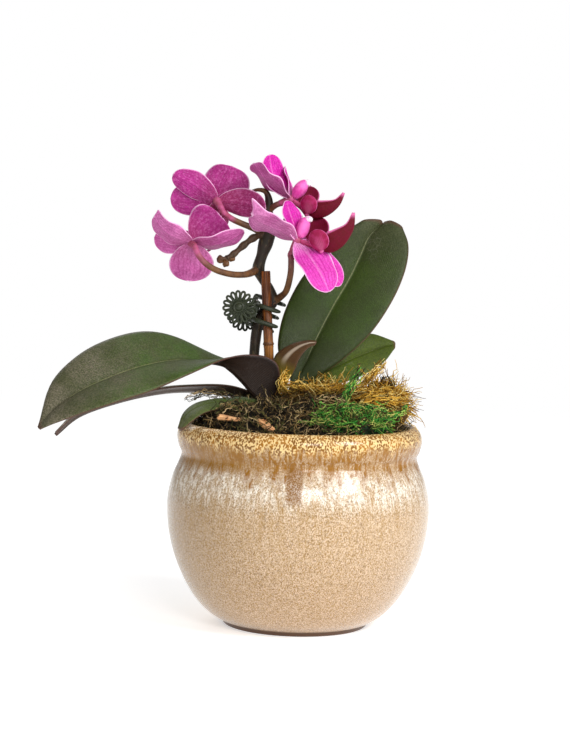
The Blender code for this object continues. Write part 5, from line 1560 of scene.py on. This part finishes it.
# Tufts of loose strands: their route, number, spread, thickness and mean length
TUFTS = {
    "moss_brown_wisps": [
        ([(-30, -12, 104), (-38, -10, 106.5), (-46, -9, 105.5), (-53, -9, 103)], 46, 1.8, 0.24, 5),
        ([(36, -6, 108), (38, -6, 116), (42, -6, 111), (44, -6, 104)], 18, 0.9, 0.28, 6),
        ([(-38, -26, 98), (-33, -22, 101), (-26, -20, 101)], 40, 2.6, 0.28, 5),
        ([(-12, -30, 99), (2, -28, 101), (16, -22, 103)], 70, 4.0, 0.30, 6),
        ([(6, -25, 105), (14, -26, 106), (22, -26, 105)], 60, 1.8, 0.30, 5),
        ([(26, -30, 101), (30, -30, 102), (35, -28, 102)], 40, 1.4, 0.32, 4),
    ],
    "moss_gold_wisps": [
        ([(24, -5, 109), (30, -4, 114), (35, -5, 119), (38, -6, 124)], 44, 1.5, 0.34, 9),
        ([(35, -4, 106), (42, -4, 107), (47, -4, 104), (49, -5, 99)], 60, 1.8, 0.34, 7),
        ([(-9, -9, 110), (2, -11, 110), (16, -12, 109), (32, -12, 109)], 90, 1.8, 0.34, 7),
        ([(-10, -8, 105), (-9, -9, 112), (-6, -9, 117)], 34, 1.8, 0.32, 7),
        ([(24, -26, 103), (32, -25, 105), (41, -19, 105), (46, -12, 103)], 80, 1.8, 0.32, 6),
        ([(26, -14, 104), (34, -13, 108), (42, -9, 107), (47, -6, 102)], 90, 2.4, 0.34, 8),
    ],
    "moss_green_wisps": [
        ([(28, -12, 120), (24, -14, 114), (20, -15, 107), (17, -17, 101)], 70, 1.5, 0.32, 6),
        ([(2, -35, 96), (14, -39, 97), (28, -38, 97), (42, -30, 98)], 130, 2.0, 0.32, 5),
        ([(-4, -36, 95), (6, -38, 96), (18, -40, 96)], 50, 1.8, 0.32, 5),
        ([(36, -30, 98), (43, -24, 100), (48, -14, 102)], 60, 1.6, 0.32, 5),
        ([(4, -32, 98), (16, -34, 102), (30, -31, 102), (42, -24, 100)], 120, 2.6, 0.32, 6),
    ],
}
# The seed that the curls of the loose strands start from
CURL_SEED = 17
# Small pale nubs among the golden moss
NUBS = [(24.5, -21.5, 102.4, 1.7), (27.6, -22.0, 103.2, 1.9), (30.6, -22.0, 101.2, 1.5),
        (26.2, -23.0, 100.2, 1.3), (32.5, -20.5, 102.6, 1.2)]


def tuft(shape, route, count, spread, radius, reach, rng):
    """Loose curly strands set along a route."""
    points = vectors(route)
    whole = sum((end - start).length for start, end in zip(points, points[1:]))
    for _ in range(count):
        span = min(reach * (0.6 + 0.8 * rng.random()) / whole, 0.9)
        first = rng.random() * (1.0 - span)
        apart = Vector([rng.gauss(0.0, spread * 0.5) for _ in range(3)])
        tone = rng.random()
        steps = 10
        strand = []
        for step in range(steps + 1):
            point = along_rail(points, first + span * step / steps) + apart
            curl = noise.noise_vector(point / 2.4 + Vector((tone * 40.0, 0.0, 0.0)))
            strand.append(point + curl * (0.9 + 1.9 * step / steps))
        radii = [radius * (1.0 - 0.6 * step / steps) for step in range(steps + 1)]
        tube(shape, strand, radii, 4, tone=tone)


def make_moss():
    """Brown mat, golden strand moss and green moss: rough cores under curled strands, and tufts."""
    finishes = {"brown": moss_finish("brown_moss", BROWN_MOSS),
                "gold": moss_finish("golden_moss", GOLD_MOSS),
                "green": moss_finish("green_moss", GREEN_MOSS, 0.65)}
    for node, (kind, cuts, rough) in {"moss_bed": ("brown", 1, 0.7), "moss_gold": ("gold", 1, 0.9),
                                      "moss_green": ("green", 2, 1.2)}.items():
        inputs = dict(STRANDS[node], Finish=finishes[kind])
        inputs.setdefault("Length", sizes().moss_length)
        mesh = grown(node, moss_core(node, cuts, rough, 3.0), strand_tree(), inputs)
        mesh.materials.clear()
        mesh.shade_smooth()
        add_piece(node + "_strands", mesh, [finishes[kind]], PLANT, [node])
    noise.seed_set(CURL_SEED)
    for name, tufts in TUFTS.items():
        kind = name.split("_")[1]
        shape = Shape()
        rng = random.Random(name)
        for route, count, spread, radius, reach in tufts:
            tuft(shape, route, count, spread, radius, reach, rng)
        if kind == "gold":
            for x, y, z, radius in NUBS:
                egg(shape, (x, y, z), (radius, radius, radius), Matrix.Identity(3), 16, 12, tone=0.85,
                    rough=0.5, grain=1.1)
        add_piece(name, shape.mesh(name), [finishes[kind]], PLANT)


# Clip


def clip_place():
    """Where the clip's own frame stands."""
    return Matrix.Translation(CLIP_PLACE) @ spun(CLIP_TILT, "Y")


def ring_petals(nodes, given):
    """One looped petal repeated round the flower's middle."""
    spots = nodes.out("GeometryNodeMeshLine", {"Count": given["Count"], "Offset": (0.0, 0.0, 0.0)})
    index = nodes.out("GeometryNodeInputIndex")
    turn = nodes.times(nodes.math("DIVIDE", index, given["Count"]), 2 * math.pi)
    spin = nodes.out("FunctionNodeEulerToRotation", {0: nodes.out("ShaderNodeCombineXYZ", {2: turn})})
    ring = nodes.out("GeometryNodeInstanceOnPoints", {"Points": spots, "Instance": given["Petal"],
                                                      "Rotation": spin})
    return finished(nodes, ring, given)


def petal_ring_tree():
    """The geometry tree of the clip's flower."""
    inputs = {"Petal": ("Geometry", None), "Count": ("Int", 16), "Finish": ("Material", None)}
    return new_tree("Petal ring", "GeometryNodeTree", inputs, "Ring", "Geometry", ring_petals)


def looped_petal():
    """One looped petal of the clip's flower, lying flat along X."""
    shape = Shape()
    count = 20
    route = []
    for step in range(count + 1):
        turn = 2 * math.pi * step / count
        reach = 5.3 + 2.05 * math.cos(turn)
        width = (0.62 + 0.42 * smooth_step(3.4, 7.2, reach)) * math.sin(turn)
        route.append(Vector((reach, width, 0.25 * math.sin(turn * 0.5))))
    tube(shape, route, [0.54] * (count + 1), 7)
    return shape.mesh("looped_petal")


def flower_handle(shape, centre, lean, hand):
    """The clip's flower: its domed middle joins the shape; gives the mesh of its looped petals."""
    place = clip_place() @ Matrix.Translation(Vector(centre)) @ spun(lean, "Z") @ spun(90, "X")
    disc = [(0.05, 0.55), (3.2, 0.55), (3.9, 0.2), (3.9, -0.2), (3.2, -0.55), (0.05, -0.55)]
    turned(shape, disc, 40, place)
    dome = [(0.05, 1.75), (0.9, 1.65), (1.5, 1.3), (1.7, 1.0), (2.0, 1.25), (2.4, 1.2), (2.7, 0.8),
            (2.8, 0.4), (0.05, 0.4)]
    turned(shape, dome, 40, place @ Matrix.Scale(-hand, 4, (0.0, 0.0, 1.0)))
    ring = grown("daisy_ring", looped_petal(), petal_ring_tree(),
                 {"Count": sizes().daisy_petals, "Finish": plastic_finish()})
    ring.transform(Matrix.Scale(MM, 4) @ place @ Matrix.Scale(1 / MM, 4))
    return ring


def take_in(mesh, other):
    """Add another mesh to the mesh, and drop the other."""
    bm = bmesh.new()
    bm.from_mesh(mesh)
    bm.from_mesh(other)
    bm.to_mesh(mesh)
    bm.free()
    bpy.data.meshes.remove(other)


def add_grip(shape, half, place):
    """A half's knuckles round the pin, and its fingers round the stems."""
    hand = half["hand"]
    for low, high in half["knuckles"]:
        profile = [(KNUCKLE_HOLE, low), (KNUCKLE_HOLE, high), (KNUCKLE_RADIUS - 0.2, high),
                   (KNUCKLE_RADIUS, high - 0.2), (KNUCKLE_RADIUS, low + 0.2),
                   (KNUCKLE_RADIUS - 0.2, low), (KNUCKLE_HOLE, low)]
        turned(shape, profile, 24, place)
        rounded_box(shape, (-0.5, hand * 1.7, (low + high) / 2), (2.0, 1.2, high - low), place)
    for level, path in half["fingers"].items():
        route = [place @ Vector((x, y, level)) for x, y in path]
        radii = [FINGER_RADIUS * (1.0 - 0.35 * smooth_step(0.6, 1.0, step / 24)) for step in range(25)]
        tube(shape, smooth_route(route, 24), radii, 14)


def make_clip_half(name, half, body, node):
    """One half of the clip: knuckles, body, fingers round the stems and its flower handle."""
    shape = Shape()
    place = clip_place()
    centre, size = half["body"]
    hand = half["hand"]
    rounded_box(shape, centre, size, place)
    add_grip(shape, half, place)
    daisy = half["daisy"]
    arm = [(centre[0], centre[1], 0.0), ((centre[0] + daisy[0]) / 2, hand * 5.2, daisy[2] / 2), daisy]
    tube(shape, smooth_route([place @ Vector(point) for point in arm], 16),
         [1.5 + 0.2 * step / 16 for step in range(17)], 16)
    ring = flower_handle(shape, daisy, half["lean"], hand)
    mesh = shape.mesh(name)
    take_in(mesh, ring)
    mesh.shade_smooth()
    mesh.set_sharp_from_angle(angle=math.radians(CLIP_CREASE))
    add_piece(name, mesh, [plastic_finish()], body, [node])


def make_clip():
    """The flower-shaped clip that ties the spike to the stake."""
    make_clip_half("clip_front_half", FRONT_CLIP, JAW, "clip_front")
    make_clip_half("clip_back_half", BACK_CLIP, PLANT, "clip_back")
    place = clip_place()
    pin = Shape()
    reach = PIN_HALF_LENGTH
    profile = [(0.05, reach), (PIN_RADIUS - 0.15, reach), (PIN_RADIUS, reach - 0.15),
               (PIN_RADIUS, -reach + 0.15), (PIN_RADIUS - 0.15, -reach), (0.05, -reach)]
    turned(pin, profile, 24, place)
    add_piece("clip_pin_wire", pin.mesh("clip_pin"), [steel_finish()], PLANT, ["clip_pin"])
    spring = Shape()
    count = 60
    coil = []
    for step in range(count + 1):
        turn = 2 * math.pi * SPRING_TURNS * step / count
        coil.append(place @ Vector((SPRING_RADIUS * math.cos(turn), SPRING_RADIUS * math.sin(turn),
                                    (step / count - 0.5) * SPRING_TURNS * SPRING_PITCH)))
    tube(spring, coil, [SPRING_WIRE] * (count + 1), 10)
    add_piece("clip_spring_wire", spring.mesh("clip_spring"), [steel_finish()], PLANT,
              ["clip_spring"])


# Stage


@finish("pale_floor", 0.9, {"Emission Strength": 1.0, "Specular IOR Level": 0.0})
def floor_finish(nodes):
    """A plain matt floor that fades into the bright surroundings."""
    distance = nodes.add("ShaderNodeVectorMath", {0: nodes.place()}, operation="LENGTH").outputs["Value"]
    far = nodes.rise(distance, 0.35, 1.3)
    return {"Base Color": nodes.mix(far, screen(238, 238, 238), screen(0, 0, 0)),
            "Emission Color": nodes.mix(far, screen(190, 190, 190), screen(255, 255, 255))}


def softbox(name, place, target, size, power):
    """A large soft light aimed at a point."""
    data = bpy.data.lights.new(name, "AREA")
    data.shape = "RECTANGLE"
    data.size, data.size_y = size
    data.energy = power
    lamp = new_object(name, data)
    lamp.location = place
    lamp.rotation_euler = (Vector(target) - Vector(place)).to_track_quat("-Z", "Y").to_euler()


def make_stage():
    """Pale floor, bright surroundings, soft lights and the camera."""
    mesh = bpy.data.meshes.new("floor")
    bm = bmesh.new()
    bmesh.ops.create_circle(bm, cap_ends=True, radius=FLOOR_RADIUS, segments=96)
    bm.to_mesh(mesh)
    bm.free()
    mesh.materials.append(floor_finish())
    floor = new_object("floor", mesh)
    world = bpy.data.worlds.new("studio")
    world.use_nodes = True
    nodes = Nodes(world.node_tree)
    seen = nodes.add("ShaderNodeLightPath").outputs["Is Camera Ray"]
    sky = world.node_tree.nodes["Background"]
    sky.inputs["Color"].default_value = (1.0, 1.0, 1.0, 1.0)
    light = nodes.add("ShaderNodeMapRange", {"Value": seen, "To Min": SKY_LIGHT, "To Max": 1.0})
    nodes.join(light.outputs[0], sky.inputs["Strength"])
    bpy.context.scene.world = world
    softbox("key", (0.80, -0.70, 0.75), (0.0, 0.0, 0.08), (0.50, 0.50), 11.0)
    softbox("window", (0.20, -1.0, 0.56), (0.0, 0.0, 0.07), (0.34, 0.26), 4.0)
    softbox("back", (-0.5, 0.9, 0.9), (0.0, 0.0, 0.12), (0.8, 0.8), 4.0)
    bpy.context.scene.view_settings.view_transform = "Standard"
    add_camera()


def add_camera():
    """The camera, at the photograph's angle."""
    data = bpy.data.cameras.new("camera")
    data.sensor_fit = "VERTICAL"
    data.sensor_height = SENSOR
    data.lens = SENSOR * CAMERA_DISTANCE / (IMAGE_HEIGHT / PIXELS_PER_METRE)
    made = new_object("camera", data)
    pitch = math.radians(CAMERA_PITCH)
    target = Vector(CAMERA_TARGET)
    made.location = target + Vector((0.0, -math.cos(pitch), math.sin(pitch))) * CAMERA_DISTANCE
    aim = (target - made.location).to_track_quat("-Z", "Y")
    made.rotation_mode = "QUATERNION"
    made.rotation_quaternion = aim @ Quaternion((0.0, 0.0, 1.0), math.radians(CAMERA_ROLL))
    bpy.context.scene.camera = made


# Operators


class ORCHID_OT_bowl(bpy.types.Operator):
    """Make the glazed bowl"""
    bl_idname = "orchid.bowl"
    bl_label = "Glazed bowl"

    def execute(self, context):
        make_bowl()
        return {"FINISHED"}


class ORCHID_OT_planting(bpy.types.Operator):
    """Finish the bark mix and make the crown, roots and bark chips"""
    bl_idname = "orchid.planting"
    bl_label = "Bark, crown and chips"

    def execute(self, context):
        dress_bark()
        make_crown()
        make_chips()
        return {"FINISHED"}


class ORCHID_OT_moss(bpy.types.Operator):
    """Grow the brown, golden and green moss"""
    bl_idname = "orchid.moss"
    bl_label = "Moss"

    def execute(self, context):
        make_moss()
        return {"FINISHED"}


class ORCHID_OT_leaves(bpy.types.Operator):
    """Make the six leaves"""
    bl_idname = "orchid.leaves"
    bl_label = "Leaves"

    def execute(self, context):
        make_leaves()
        return {"FINISHED"}


class ORCHID_OT_stake(bpy.types.Operator):
    """Make the bamboo stake"""
    bl_idname = "orchid.stake"
    bl_label = "Bamboo stake"

    def execute(self, context):
        make_stake()
        return {"FINISHED"}


class ORCHID_OT_spike(bpy.types.Operator):
    """Make the flower spike, its stalks and buds"""
    bl_idname = "orchid.spike"
    bl_label = "Flower spike"

    def execute(self, context):
        make_spike()
        return {"FINISHED"}


class ORCHID_OT_blooms(bpy.types.Operator):
    """Make the four flowers"""
    bl_idname = "orchid.blooms"
    bl_label = "Flowers"

    def execute(self, context):
        make_blooms()
        return {"FINISHED"}


class ORCHID_OT_lips(bpy.types.Operator):
    """Make the lips of the four flowers"""
    bl_idname = "orchid.lips"
    bl_label = "Lips"

    def execute(self, context):
        make_lips()
        return {"FINISHED"}


class ORCHID_OT_clip(bpy.types.Operator):
    """Make the flower-shaped clip"""
    bl_idname = "orchid.clip"
    bl_label = "Clip"

    def execute(self, context):
        make_clip()
        return {"FINISHED"}


class ORCHID_OT_stage(bpy.types.Operator):
    """Make the floor, the lights and the camera"""
    bl_idname = "orchid.stage"
    bl_label = "Stage"

    def execute(self, context):
        make_stage()
        return {"FINISHED"}


class ORCHID_PT_pieces(bpy.types.Panel):
    """Sizes, colours and pieces of the potted orchid"""
    bl_idname = "ORCHID_PT_pieces"
    bl_label = "Potted orchid"
    bl_space_type = "VIEW_3D"
    bl_region_type = "UI"
    bl_category = "Orchid"

    def draw(self, context):
        for group in (context.scene.orchid_sizes, context.scene.orchid_colours):
            for key in group.bl_rna.properties.keys():
                if key not in ("rna_type", "name"):
                    self.layout.prop(group, key)
        for operator in OPERATORS:
            self.layout.operator(operator.bl_idname)


OPERATORS = (ORCHID_OT_bowl, ORCHID_OT_planting, ORCHID_OT_moss, ORCHID_OT_leaves, ORCHID_OT_stake,
             ORCHID_OT_spike, ORCHID_OT_blooms, ORCHID_OT_lips, ORCHID_OT_clip, ORCHID_OT_stage)
CLASSES = (OrchidSizes, OrchidColours, *OPERATORS, ORCHID_PT_pieces)


def register():
    for item in CLASSES:
        bpy.utils.register_class(item)
    bpy.types.Scene.orchid_sizes = PointerProperty(type=OrchidSizes)
    bpy.types.Scene.orchid_colours = PointerProperty(type=OrchidColours)


def unregister():
    del bpy.types.Scene.orchid_colours
    del bpy.types.Scene.orchid_sizes
    for item in reversed(CLASSES):
        bpy.utils.unregister_class(item)


def main():
    """Make every piece."""
    register()
    for operator in OPERATORS:
        family, name = operator.bl_idname.split(".")
        getattr(getattr(bpy.ops, family), name)()


if __name__ == "__main__":
    main()
